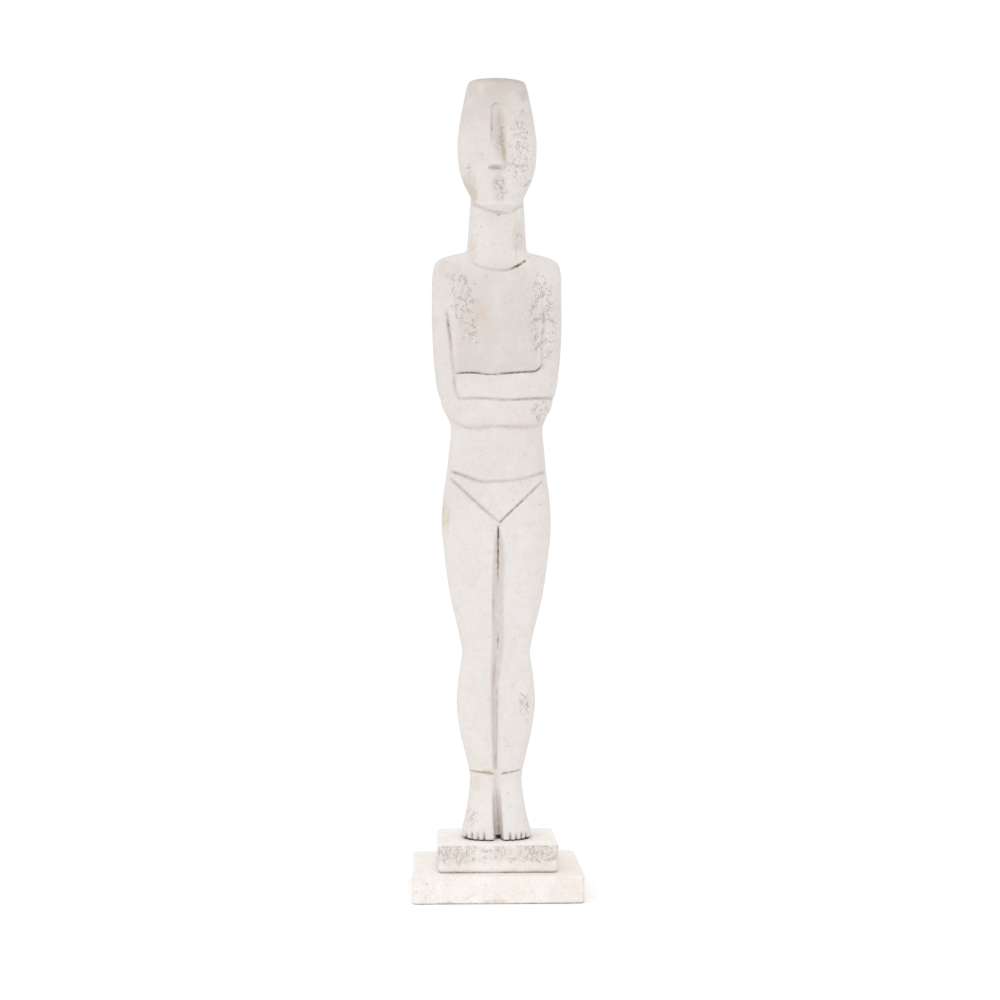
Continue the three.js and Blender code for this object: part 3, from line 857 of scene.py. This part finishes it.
    def _shape_foot(self, surface: Surface, sign: float, cuts: tuple[float, ...]) -> None:
        """Cuts the toes of one foot.

        Args:
            surface: The surface.
            sign: -1 for the figure's right foot, 1 for its left.
            cuts: Distances of the cuts from the middle, in mm.
        """
        x, up = sign * surface.x, surface.up
        front = surface.is_front & (x > 0.0)
        zone = smoothstep(self.toe_top, self.toe_top - 2.2, up) * front
        reach = 0.4 + 0.45 * smoothstep(self.toe_top, 0.0, up)
        for number, place in enumerate(cuts):
            top = self.toe_top - 1.3 * (number % 2)
            gap = np.clip(1.0 - np.abs(x - place) / (reach + 0.15), 0.0, 1.0)
            surface.add("relief", -1.0 * gap * zone)
            dark = smoothstep(1.1, 0.2, np.abs(x - place) / reach) * smoothstep(top, top - 3.2, up)
            surface.stain("wash_and_shade", (0.85 + 0.12 * (number % 2)) * dark * front)
        edges = (2.3, *cuts, 16.8)
        for inner, outer in zip(edges[:-1], edges[1:]):
            t = np.clip(np.abs(2.0 * (x - inner) / (outer - inner) - 1.0), 0.0, 1.0)
            inside = (x >= inner) & (x < outer)
            surface.add("relief", 0.35 * (1.0 - t**2.5) * inside * zone)

    def _incise(self, surface: Surface) -> None:
        """Cuts every incised line.

        Args:
            surface: The surface, which it changes.
        """
        wander = Noise(11).at(surface.place, 2.2)
        for line in (*FRONT_LINES, *CLEFT_LINES, *BACK_LINES):
            surface.carve(line, wander)

    def _weather(self, surface: Surface) -> None:
        """Unevenness of the hand finish, open pores, where wash and stains stay, and painted shade: darker
        towards the head, lighter on the chin's bevel.

        Args:
            surface: The surface, which it changes.
        """
        broad = Noise(3).rough(surface.place, 24.0, 2)
        fine = Noise(5).rough(surface.place, 5.0, 3)
        surface.add("relief", 0.2 * broad + 0.06 * fine)
        breakup = Noise(7).rough(surface.place, 6.0, 3)
        surface.stain("pores", 0.1 + 0.12 * Noise(9).at(surface.place, 18.0))
        stains = (("pores", PORE_PATCHES, 1.0), ("ochre", OCHRE_PATCHES, 1.0), ("wash_and_shade", WASH_AND_SHADE_PATCHES, 0.6))
        for layer, patches, broken in stains:
            for patch in patches:
                surface.patch(layer, patch, broken * breakup)
        surface.pit(900, (0.35, 0.75), 0.35, 21)
        surface.pit(24, (0.7, 1.1), 0.3, 22)
        # Painted shade: darker towards the head, with a little random unevenness.
        soil_and_shade = np.interp(surface.up, PAINTED_SHADE_HEIGHTS, PAINTED_SHADE_AMOUNTS) + 0.1 * breakup
        # Darker over the chest panel, above the forearms.
        chest = smoothstep(21.5, 18.0, np.abs(surface.x)) * smoothstep(225.0, 229.0, surface.up)
        soil_and_shade = soil_and_shade + 0.25 * chest * smoothstep(288.0, 270.0, surface.up) * surface.is_front
        # Painted highlight: the chin's bevel, which faces down, is kept lighter as if lit from below.
        chin = smoothstep(304.8, 306.0, surface.up) * smoothstep(310.1, 309.7, surface.up)
        soil_and_shade = soil_and_shade - 0.35 * chin * smoothstep(12.0, 10.0, np.abs(surface.x)) * surface.is_front
        surface.stain("soil_and_shade", np.clip(soil_and_shade, 0.0, 1.3))
        for patch in SOIL_PATCHES:
            surface.patch("soil_and_shade", patch, breakup)
        # A darker band round the crown.
        surface.stain("wash_and_shade", 0.35 * smoothstep(CROWN - 4.5, CROWN - 1.0, surface.up))

    def _mesh(self, surface: Surface) -> bpy.types.Object:
        """Joins the rows into a closed mesh, with a flat sole and a level crown.

        Args:
            surface: The finished surface.

        Returns:
            The object, with its stain layers as attributes.
        """
        rows = surface.finished()
        rows[0, :, 2] = self.low.z / MM
        rows[-1, :, 2] = np.minimum(rows[-1, :, 2], self.high.z / MM)
        rows[..., 2] = np.clip(rows[..., 2], self.low.z / MM, self.high.z / MM)
        count, columns = rows.shape[:2]
        top_centre = rows[-1].mean(axis=0)
        shares = np.linspace(1.0, 0.0, self.crown_rings + 2)[1:-1]
        rings = [top_centre + (rows[-1] - top_centre) * share for share in shares]
        sole_centre = rows[0].mean(axis=0)
        points = np.vstack([rows.reshape(-1, 3), *rings, top_centre[None], sole_centre[None]])
        total_rows = count + len(rings)
        first = np.arange(total_rows - 1)[:, None] * columns
        k = np.arange(columns)[None, :]
        following = (k + 1) % columns
        above = first + columns
        quads = np.stack([first + k, first + following, above + following, above + k], axis=-1)
        last = (total_rows - 1) * columns
        k, following = k[0], following[0]
        top = np.stack([last + k, last + following, np.full(columns, len(points) - 2)], axis=-1)
        sole = np.stack([following, k, np.full(columns, len(points) - 1)], axis=-1)
        layers = {}
        for name in STAIN_AND_SHADE_LAYERS:
            layer = surface.layers[name]
            crown = np.tile(layer[-1], len(rings))
            layers[name] = np.concatenate([layer.ravel(), crown, [layer[-1, 0], 1.0]])
        faces = [*quads.reshape(-1, 4).tolist(), *top.tolist(), *sole.tolist()]
        return mesh_object("figure_casting", points, faces, layers)


# --- Slabs of the base ---


@dataclass
class Slab:
    """A hand-cast slab with worn edges. Sizes are in mm.

    cell is the mesh size, edge the usual radius of its edges, corner that of its upright corners, chips how
    much farther the edges are worn in places, and undercut how far each side draws in below.
    """

    low: Vector
    high: Vector
    name: str = "slab_casting"
    cell: float = 0.5
    edge: float = 0.8
    corner: float = 2.2
    chips: float = 1.2
    undercut: float = 0.0
    pores: int = 160
    seed: int = 43

    def build(self) -> bpy.types.Object:
        """Makes the slab's mesh.

        Returns:
            The object, with its layers of stains and painted shade as attributes.
        """
        low, high = np.array(self.low) / MM, np.array(self.high) / MM
        centre, half = (low + high) / 2.0, (high - low) / 2.0
        grid, faces = self._lattice(half)
        noise = Noise(self.seed)
        around = grid + centre
        worn = np.clip(noise.rough(around, 7.0, 3) + 0.1, 0.0, 1.0)
        radius = (self.edge + self.chips * worn**1.5)[:, None]
        core = np.clip(grid, radius - half, half - radius)
        away = grid - core
        length = np.linalg.norm(away, axis=1, keepdims=True)
        out = away / np.maximum(length, 1e-9)
        points = core + out * radius
        drop = (half[2] - points[:, 2]) / (2.0 * half[2])
        points[:, 0] *= 1.0 - self.undercut * drop / half[0]
        points, out = self._round_corners(points, out, half)
        places = points + centre
        relief, layers = self._weathered(places, out, noise)
        level = np.abs(out[:, 2]) > 0.98
        relief = np.where(level & (out[:, 2] < 0), 0.0, relief)
        relief = np.where(level & (out[:, 2] > 0), np.minimum(relief, 0.0), relief)
        places = places + out * relief[:, None]
        places = np.clip(places, low, high)
        return mesh_object(self.name, places, faces, layers)

    def _round_corners(
        self, points: np.ndarray, out: np.ndarray, half: np.ndarray
    ) -> tuple[np.ndarray, np.ndarray]:
        """Rounds the upright corners in plan.

        Args:
            points: Points round the slab's centre, in mm.
            out: Outward direction at each point.
            half: Half of each side.

        Returns:
            The moved points and their outward directions.
        """
        core = np.clip(points[:, :2], self.corner - half[:2], half[:2] - self.corner)
        away = points[:, :2] - core
        length = np.linalg.norm(away, axis=1, keepdims=True)
        longest = np.abs(away).max(axis=1, keepdims=True)
        inside = (np.abs(away).min(axis=1, keepdims=True) > 0.0) & (length > 1e-6)
        points, out = points.copy(), out.copy()
        points[:, :2] = np.where(inside, core + away * longest / np.maximum(length, 1e-9), points[:, :2])
        level = np.linalg.norm(out[:, :2], axis=1, keepdims=True)
        out[:, :2] = np.where(inside, level * away / np.maximum(length, 1e-9), out[:, :2])
        return points, out

    def _lattice(self, half: np.ndarray) -> tuple[np.ndarray, list[list[int]]]:
        """Points and faces of a box cut into small squares.

        Args:
            half: Half of each side.

        Returns:
            The points, and the faces as lists of point numbers.
        """
        counts = np.maximum(np.round(2.0 * half / self.cell).astype(int), 4)
        corners = []
        for axis in range(3):
            first, second = (axis + 1) % 3, (axis + 2) % 3
            i, j = np.meshgrid(np.arange(counts[first]), np.arange(counts[second]), indexing="ij")
            for end in (0, counts[axis]):
                quad = np.empty((i.size, 4, 3), int)
                quad[:, :, axis] = end
                for k, (step, stride) in enumerate(((0, 0), (1, 0), (1, 1), (0, 1))):
                    quad[:, k, first] = i.ravel() + step
                    quad[:, k, second] = j.ravel() + stride
                corners.append(quad if end else quad[:, ::-1])
        corners = np.concatenate(corners)
        lattice, index = np.unique(corners.reshape(-1, 3), axis=0, return_inverse=True)
        return (2.0 * lattice / counts - 1.0) * half, index.reshape(-1, 4).tolist()

    def _weathered(
        self, places: np.ndarray, out: np.ndarray, noise: Noise
    ) -> tuple[np.ndarray, dict[str, np.ndarray]]:
        """Relief of the slab, and its layers of stains and painted shade.

        Args:
            places: Points in mm.
            out: Outward direction at each point.
            noise: The slab's noise.

        Returns:
            The relief in mm and the layers by name.
        """
        breakup = noise.rough(places, 6.0, 3)
        relief = 0.16 * noise.rough(places, 20.0, 2) + 0.06 * noise.rough(places, 3.0, 2)
        pores, wash_and_shade, ochre = self._stains_and_shade(places, out)
        pores = np.clip(pores * (1.0 + 0.5 * breakup), 0.0, 1.0)
        wash_and_shade = np.clip(wash_and_shade * (1.0 + 0.4 * breakup), 0.0, 1.2)
        draw = np.random.default_rng(self.seed)
        weight = pores**1.6
        chosen = draw.choice(len(places), size=self.pores, p=weight / weight.sum())
        sizes = 0.35 + 0.4 * draw.uniform(0.0, 1.0, self.pores) ** 2
        for spot, size in zip(chosen, sizes):
            near = np.abs(places[:, 0] - places[spot, 0]) < size
            distance = np.linalg.norm(places[near] - places[spot], axis=1)
            hollow = mound(distance, size)
            relief[near] -= 0.5 * size * hollow
            wash_and_shade[near] = np.maximum(wash_and_shade[near], 0.3 * hollow)
        layers = {
            "pores": pores,
            "wash_and_shade": wash_and_shade,
            "ochre": np.clip(ochre * (1.0 + 0.5 * breakup), 0.0, 1.0),
            # Painted shade: every face but the top a little darker, unevenly.
            "soil_and_shade": np.clip(0.1 + 0.15 * breakup, 0.0, 1.0) * smoothstep(0.9, 0.5, out[:, 2]),
        }
        return relief, layers

    def _stains_and_shade(self, places: np.ndarray, out: np.ndarray) -> tuple[np.ndarray, np.ndarray, np.ndarray]:
        """Where stains and painted shade lie.

        Args:
            places: Points in mm.
            out: Outward direction at each point.

        Returns:
            How open the pores are, the strength of the brown wash and painted shade, and that of the ochre.
        """
        raise NotImplementedError

    @staticmethod
    def _front(out: np.ndarray) -> np.ndarray:
        """How far each direction is the front's."""
        return smoothstep(-0.2, -0.6, out[:, 1])

    @staticmethod
    def _sides(out: np.ndarray) -> np.ndarray:
        """How far each direction is a side's or the back's."""
        return smoothstep(0.4, 0.8, np.abs(out[:, 0])) + smoothstep(0.4, 0.8, out[:, 1])


@dataclass
class LowerSlab(Slab):
    """The larger slab: pores on the left half of its front, painted shade at its foot where it meets the
    floor, and an ochre stain there.
    """

    name: str = "lower_slab_casting"

    def _stains_and_shade(self, places: np.ndarray, out: np.ndarray) -> tuple[np.ndarray, np.ndarray, np.ndarray]:
        """Where stains and painted shade lie on this slab.

        Args:
            places: Points in mm.
            out: Outward direction at each point.

        Returns:
            How open the pores are, the strength of the painted shade at the foot, and that of the ochre.
        """
        x, z = places[:, 0], places[:, 2]
        left = self._front(out) * smoothstep(4, -14, x)
        pores = np.clip(0.05 + 0.34 * left + 0.3 * self._sides(out), 0.0, 1.0)
        # Painted shade along the foot, where the slab meets the floor.
        wash_and_shade = 0.8 * smoothstep(0.7, 0.1, z)
        ochre = mound(np.hypot((x + 2) / 9.0, (z - 1.2) / 1.7), 1.0) * (out[:, 1] < -0.2)
        return pores, wash_and_shade, ochre


@dataclass
class UpperSlab(Slab):
    """The smaller slab: thick pores along the top of its front, in two banks, and painted shade at its foot,
    where it sits on the lower slab.
    """

    name: str = "upper_slab_casting"
    cell: float = 0.42
    edge: float = 1.0
    chips: float = 1.4
    undercut: float = 0.6
    pores: int = 520
    seed: int = 41

    def _stains_and_shade(self, places: np.ndarray, out: np.ndarray) -> tuple[np.ndarray, np.ndarray, np.ndarray]:
        """Where stains and painted shade lie on this slab.

        Args:
            places: Points in mm.
            out: Outward direction at each point.

        Returns:
            How open the pores are, the strength of the brown wash and painted shade, and that of the ochre.
        """
        x, z = places[:, 0], places[:, 2]
        front = self._front(out)
        banks = np.maximum(np.maximum(smoothstep(-5, -12, x), smoothstep(12, 17, x)), 0.75)
        high = smoothstep(15.5, 20.5, z)
        pores = 0.08 + front * banks * (0.15 + 0.85 * high) + 0.5 * self._sides(out) * high
        # Painted shade at the foot, where the slab sits on the lower slab; brown wash along the top of the
        # front.
        wash_and_shade = 0.6 * smoothstep(14.9, 13.3, z) + 0.2 * front * smoothstep(16.0, 21.0, z)
        ochre = 0.25 * mound(np.hypot((x + 14) / 9.0, (z - 19) / 5.0), 1.0) * (out[:, 1] < -0.3)
        return np.clip(pores, 0.0, 1.0), wash_and_shade, ochre


# --- Meshes ---


def mesh_object(
    name: str, points: np.ndarray, faces: list[list[int]], layers: dict[str, np.ndarray]
) -> bpy.types.Object:
    """Makes a smooth-shaded object from points and faces.

    Args:
        name: The object's name.
        points: Points in mm, shape (n, 3).
        faces: Point numbers of each face, counter-clockwise from outside.
        layers: Values for each point, kept as attributes of these names.

    Returns:
        The object, linked to the scene.
    """
    mesh = bpy.data.meshes.new(name)
    mesh.from_pydata((points * MM).tolist(), [], faces)
    mesh.shade_smooth()
    for layer, values in layers.items():
        attribute = mesh.attributes.new(layer, "FLOAT", "POINT")
        attribute.data.foreach_set("value", np.ascontiguousarray(values, np.float32))
    mesh.validate()
    mesh.update()
    piece = bpy.data.objects.new(name, mesh)
    bpy.context.scene.collection.objects.link(piece)
    return piece


# --- Finishes ---


def linear(colour: str) -> tuple[float, float, float, float]:
    """Turns an sRGB hex colour to linear.

    Args:
        colour: Six hex digits after a #.

    Returns:
        Linear red, green and blue, and an alpha of 1.
    """
    parts = [int(colour[i : i + 2], 16) / 255.0 for i in (1, 3, 5)]
    red, green, blue = (c / 12.92 if c <= 0.04045 else ((c + 0.055) / 1.055) ** 2.4 for c in parts)
    return red, green, blue, 1.0


def add_node(
    tree: bpy.types.NodeTree, kind: str, inputs: dict[str | int, Any] | None = None, **settings: Any
) -> bpy.types.Node:
    """Adds a node.

    Args:
        tree: The node tree.
        kind: The node's type name, without its ShaderNode prefix.
        inputs: Socket name or number to a value, or to an output socket to link from.
        **settings: The node's own properties.

    Returns:
        The node.
    """
    node = tree.nodes.new("ShaderNode" + kind)
    for name, value in settings.items():
        setattr(node, name, value)
    for key, value in (inputs or {}).items():
        if isinstance(value, bpy.types.NodeSocket):
            tree.links.new(value, node.inputs[key])
        else:
            node.inputs[key].default_value = value
    return node


MIX_FACTOR, MIX_A, MIX_B, MIX_COLOUR = 0, 6, 7, 2  # socket numbers of a colour Mix node


@dataclass(frozen=True)
class CastStone:
    """Cast stone: plaster filled with marble dust, rubbed down, then washed with thin umber and wiped.

    The body is a matt, warm off-white with faint pink and cream clouds. Umber stays in the cut lines and in
    the worm-like open pores, and shows as soft brown against the wiped faces. The same browns and the soiled
    tone also paint shade where the layers ask for it. Lengths are in mm.
    """

    name: str
    pale: str = "#E2DEDB"  # wiped faces
    blush: str = "#E0D8D6"  # pink clouds
    cream: str = "#DFDCD3"  # cream clouds
    soil_and_shade_tone: str = "#C6BDB7"  # painted shade, and faces that kept a film of wash
    tan: str = "#A59485"  # thin wash in a line, and light painted shade
    umber: str = "#4A3931"  # thick wash in a deep line, and dark painted shade along the soles and the slabs' feet
    ochre: str = "#C9B08F"  # rust-coloured stains
    cloud: float = 26.0  # width of the colour clouds
    grain: float = 1.1  # dust grains, drawn as coarse as they need to be to show
    mottle: float = 2.4  # cloudy marks of the rubbing down
    lump: float = 3.5  # unevenness left by the rubbing down
    grain_height: float = 0.06
    lump_height: float = 0.16
    pore_depth: float = 0.28
    worm_break: float = 2.6  # length of a pore before it breaks off
    worm: float = 1.8  # spacing of the worm-like pores
    pore: float = 1.9  # spacing of the round pores
    roughness: float = 0.86

    def material(self) -> bpy.types.Material:
        """Builds the material.

        Returns:
            The node material.
        """
        material = bpy.data.materials.new(self.name)
        material.use_nodes = True
        material.node_tree.nodes.clear()
        add = partial(add_node, material.node_tree)
        where = add("TexCoord").outputs["Object"]
        mm = add("VectorMath", {0: where, "Scale": 1.0 / MM}, operation="SCALE").outputs[0]
        layer = {name: add("Attribute", attribute_name=name).outputs["Fac"] for name in STAIN_AND_SHADE_LAYERS}
        holes, hole_shade = self._pores(add, mm, layer["pores"])
        colour = self._colour(add, mm, layer, hole_shade)
        grain = add("TexNoise", {"Vector": mm, "Scale": 1.0 / self.grain, "Detail": 3.0}).outputs[0]
        lumps = add("TexNoise", {"Vector": mm, "Scale": 1.0 / self.lump, "Detail": 2.0}).outputs[0]
        fine = add("Math", {0: grain, 1: self.grain_height}, operation="MULTIPLY").outputs[0]
        broad = add("Math", {0: lumps, 1: self.lump_height, 2: fine}, operation="MULTIPLY_ADD").outputs[0]
        height = add("Math", {0: holes, 1: -self.pore_depth, 2: broad}, operation="MULTIPLY_ADD").outputs[0]
        bump = add("Bump", {"Height": height, "Strength": 0.9, "Distance": MM}).outputs[0]
        spread = {0: grain, 3: self.roughness - 0.07, 4: self.roughness + 0.08}
        surface = {
            "Base Color": colour,
            "Roughness": add("MapRange", spread).outputs[0],
            "IOR": 1.52,
            "Specular IOR Level": 0.3,
            "Normal": bump,
        }
        add("OutputMaterial", {"Surface": add("BsdfPrincipled", surface).outputs[0]})
        return material

    def _pores(
        self, add: partial[bpy.types.Node], mm: bpy.types.NodeSocket, density: bpy.types.NodeSocket
    ) -> tuple[bpy.types.NodeSocket, bpy.types.NodeSocket]:
        """Worm-like pores, and a few round ones, thicker where the casting is porous.

        Args:
            add: Adds a node to the material.
            mm: Place on the piece in mm.
            density: Share of the possible pores that are open.

        Returns:
            Depth of the holes and darkness of the wash in them, both 0 to 1.
        """
        tall = add("VectorMath", {0: mm, 1: (1.0, 1.0, 0.62)}, operation="MULTIPLY").outputs[0]
        winding = {"Vector": tall, "Scale": 1.0 / self.worm, "Detail": 2.0, "Distortion": 0.7}
        field = add("TexNoise", winding).outputs[0]
        level = add("Math", {0: field, 1: 0.5}, operation="SUBTRACT").outputs[0]
        level = add("Math", {0: level}, operation="ABSOLUTE").outputs[0]
        worm = add("MapRange", {0: level, 1: 0.012, 2: 0.045, 3: 1.0, 4: 0.0}).outputs[0]
        breaks = add("TexNoise", {"Vector": mm, "Scale": 1.0 / self.worm_break, "Detail": 2.0}).outputs[0]
        limit = add("MapRange", {0: density, 3: 0.78, 4: 0.38}).outputs[0]
        limit_top = add("Math", {0: limit, 1: 0.1}, operation="ADD").outputs[0]
        kept = add("MapRange", {0: breaks, 1: limit, 2: limit_top}).outputs[0]
        worm = add("Math", {0: worm, 1: kept}, operation="MULTIPLY").outputs[0]

        cells = add("TexVoronoi", {"Vector": mm, "Scale": 1.0 / self.pore, "Randomness": 1.0}).outputs
        draw = add("SeparateColor", {0: cells["Color"]}).outputs
        share = add("Math", {0: density, 1: 0.45}, operation="MULTIPLY").outputs[0]
        is_open = add("Math", {0: draw[0], 1: share}, operation="LESS_THAN").outputs[0]
        reach = add("MapRange", {0: draw[1], 3: 0.1, 4: 0.24}).outputs[0]
        inner = add("Math", {0: reach, 1: 0.3}, operation="MULTIPLY").outputs[0]
        hollow = add("MapRange", {0: cells["Distance"], 1: inner, 2: reach, 3: 1.0, 4: 0.0}).outputs[0]
        hole = add("Math", {0: hollow, 1: is_open}, operation="MULTIPLY").outputs[0]

        tone = add("MapRange", {0: draw[2], 3: 0.12, 4: 0.4}).outputs[0]
        hole_shade = add("Math", {0: hole, 1: tone}, operation="MULTIPLY").outputs[0]
        worm_tone = add("MapRange", {0: density, 3: 0.12, 4: 0.36}).outputs[0]
        worm_shade = add("Math", {0: worm, 1: worm_tone}, operation="MULTIPLY").outputs[0]
        depth = add("Math", {0: worm, 1: hole}, operation="MAXIMUM").outputs[0]
        return depth, add("Math", {0: worm_shade, 1: hole_shade}, operation="MAXIMUM").outputs[0]

    def _colour(
        self,
        add: partial[bpy.types.Node],
        mm: bpy.types.NodeSocket,
        layer: dict[str, bpy.types.NodeSocket],
        hole_shade: bpy.types.NodeSocket,
    ) -> bpy.types.NodeSocket:
        """Colour of the wiped faces with their clouds, stains and wash, and the painted shade.

        Args:
            add: Adds a node to the material.
            mm: Place on the piece in mm.
            layer: The stain layers by name.
            hole_shade: Darkness of the wash in the pores.

        Returns:
            The colour.
        """

        def cloud(size: float, low: float, high: float, shift: float, share: Any = 1.0) -> Any:
            """Soft clouds of one size.

            Args:
                size: Width of a cloud in mm.
                low: Noise value where the clouds start.
                high: Noise value where they are full.
                shift: Moves the pattern, so that no two are alike.
                share: Strength of a full cloud.

            Returns:
                The strength, from 0 to share.
            """
            moved = add("VectorMath", {0: mm, 1: (shift, shift, shift)}, operation="ADD").outputs[0]
            noise = add("TexNoise", {"Vector": moved, "Scale": 1.0 / size, "Detail": 4.0}).outputs[0]
            graded = add("MapRange", {0: noise, 1: low, 2: high}).outputs[0]
            return add("Math", {0: graded, 1: share}, operation="MULTIPLY").outputs[0]

        broad_mottle = cloud(self.mottle * 3.0, 0.35, 0.65, 5.0, 0.32)
        # Tan and umber where the layer of wash and painted shade is strong: wash in lines and pores, and
        # painted shade.
        patchy = cloud(1.6, 0.0, 0.55, 37.0, layer["wash_and_shade"])
        patchy = add("Math", {0: patchy, 1: hole_shade}, operation="MAXIMUM").outputs[0]
        thick = add("MapRange", {0: patchy, 1: 0.5, 2: 1.05}).outputs[0]
        coats = (
            (cloud(self.cloud, 0.42, 0.66, 0.0), self.blush),
            (cloud(self.cloud * 0.7, 0.5, 0.72, 57.0, 0.8), self.cream),
            # Darker tone where the layer of soil and painted shade asks for it.
            (cloud(9.0, 0.0, 0.5, 23.0, layer["soil_and_shade"]), self.soil_and_shade_tone),
            (cloud(self.mottle, 0.45, 0.75, 71.0, broad_mottle), self.soil_and_shade_tone),
            (cloud(self.grain, 0.48, 0.78, 11.0, 0.16), self.tan),
            (cloud(3.0, 0.3, 0.62, 91.0, layer["ochre"]), self.ochre),
            (patchy, self.tan),
            (thick, self.umber),
        )
        colour = linear(self.pale)
        for amount, over in coats:
            sockets = {MIX_FACTOR: amount, MIX_A: colour, MIX_B: linear(over)}
            colour = add("Mix", sockets, data_type="RGBA").outputs[MIX_COLOUR]
        return colour


@dataclass(frozen=True)
class StudioPaper:
    """Matt white paper of a table-top studio, which gives a pale ground with no pattern."""

    name: str = "studio_paper"
    colour: str = "#FCFCFC"
    roughness: float = 0.9

    def material(self) -> bpy.types.Material:
        """Builds the material.

        Returns:
            The material.
        """
        material = bpy.data.materials.new(self.name)
        material.use_nodes = True
        shader = material.node_tree.nodes["Principled BSDF"]
        shader.inputs["Base Color"].default_value = linear(self.colour)
        shader.inputs["Roughness"].default_value = self.roughness
        shader.inputs["Specular IOR Level"].default_value = 0.2
        return material


# --- Studio ---


@dataclass
class Studio:
    """The pale floor, the soft lights and the camera. Lengths are in metres."""

    floor_reach: float = 8.0
    sky: float = 1.0
    sun: float = 0.5
    sun_angle_deg: float = 75.0
    turn_deg: float = -2.4
    distance: float = 0.8819
    eye: float = 0.19086
    roll_deg: float = 0.12
    aside: float = 0.0015
    lens: float = 64.8
    sensor: float = 36.0

    def build(self) -> None:
        """Sets up the floor, lights and camera."""
        self._floor()
        self._lights()
        self._camera()

    def _floor(self) -> None:
        """A level sheet of paper under the slabs."""
        reach = self.floor_reach
        corners = [(-reach, -reach, 0.0), (reach, -reach, 0.0), (reach, reach, 0.0), (-reach, reach, 0.0)]
        mesh = bpy.data.meshes.new("studio_floor")
        mesh.from_pydata(corners, [], [(0, 1, 2, 3)])
        mesh.materials.append(StudioPaper().material())
        floor = bpy.data.objects.new("studio_floor", mesh)
        bpy.context.scene.collection.objects.link(floor)

    def _lights(self) -> None:
        """An even white surround, with a little more light from the upper left of the front."""
        world = bpy.data.worlds.new("studio_surround")
        world.use_nodes = True
        background = world.node_tree.nodes["Background"]
        background.inputs["Color"].default_value = (1.0, 1.0, 1.0, 1.0)
        background.inputs["Strength"].default_value = self.sky
        bpy.context.scene.world = world
        data = bpy.data.lights.new("key_softbox", "SUN")
        data.energy = self.sun
        data.angle = math.radians(self.sun_angle_deg)
        lamp = bpy.data.objects.new("key_softbox", data)
        lamp.rotation_euler = Vector((0.45, 1.0, -0.9)).to_track_quat("-Z", "Y").to_euler()
        bpy.context.scene.collection.objects.link(lamp)

    def _camera(self) -> None:
        """A level camera a little to the figure's right."""
        turn = math.radians(self.turn_deg)
        right = Vector((math.cos(turn), math.sin(turn), 0.0))
        back = Vector((math.sin(turn), -math.cos(turn), 0.0))
        data = bpy.data.cameras.new("camera")
        data.lens = self.lens
        data.sensor_width = self.sensor
        data.clip_start = 0.05
        data.clip_end = 50.0
        camera = bpy.data.objects.new("camera", data)
        camera.location = back * self.distance + right * self.aside + Vector((0.0, 0.0, self.eye))
        level = Euler((math.pi / 2.0, 0.0, turn)).to_matrix()
        camera.rotation_euler = (level @ Matrix.Rotation(math.radians(self.roll_deg), 3, "Z")).to_euler()
        bpy.context.scene.collection.objects.link(camera)
        bpy.context.scene.camera = camera
        bpy.context.scene.view_settings.view_transform = "Standard"


# --- The whole ---


def place_piece(piece: bpy.types.Object, node: str, material: bpy.types.Material) -> None:
    """Puts a finished piece in place of its solid.

    Args:
        piece: The piece.
        node: The solid's node.
        material: Its material.
    """
    piece.data.materials.append(material)
    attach(piece, "root")
    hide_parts(node)
    log.info("%s stands for %s: %d faces", piece.name, node, len(piece.data.polygons))


def corners(box: tuple[Vector, Vector]) -> list[list[float]]:
    """A box's two corners as plain lists."""
    return [list(corner) for corner in box]


def main() -> None:
    """Builds the studio and the three pieces."""
    logging.basicConfig(level=logging.INFO, format="%(name)s: %(message)s")
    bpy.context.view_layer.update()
    Studio().build()

    figure_stone = CastStone("figure_cast_stone").material()
    # Painted light: the base's copy of the stone is paler than the figure's, standing in for the stronger
    # light near the floor.
    base_stone_painted_paler = CastStone("base_cast_stone", pale="#F3EFEC", blush="#EFE7E2", cream="#EFEBE3").material()

    figure = Figure(*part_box("figure")).build()
    place_piece(figure, "figure", figure_stone)

    upper = UpperSlab(*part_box("upper_slab")).build()
    place_piece(upper, "upper_slab", base_stone_painted_paler)

    lower = LowerSlab(*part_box("lower_slab")).build()
    place_piece(lower, "lower_slab", base_stone_painted_paler)


if __name__ == "__main__":
    main()
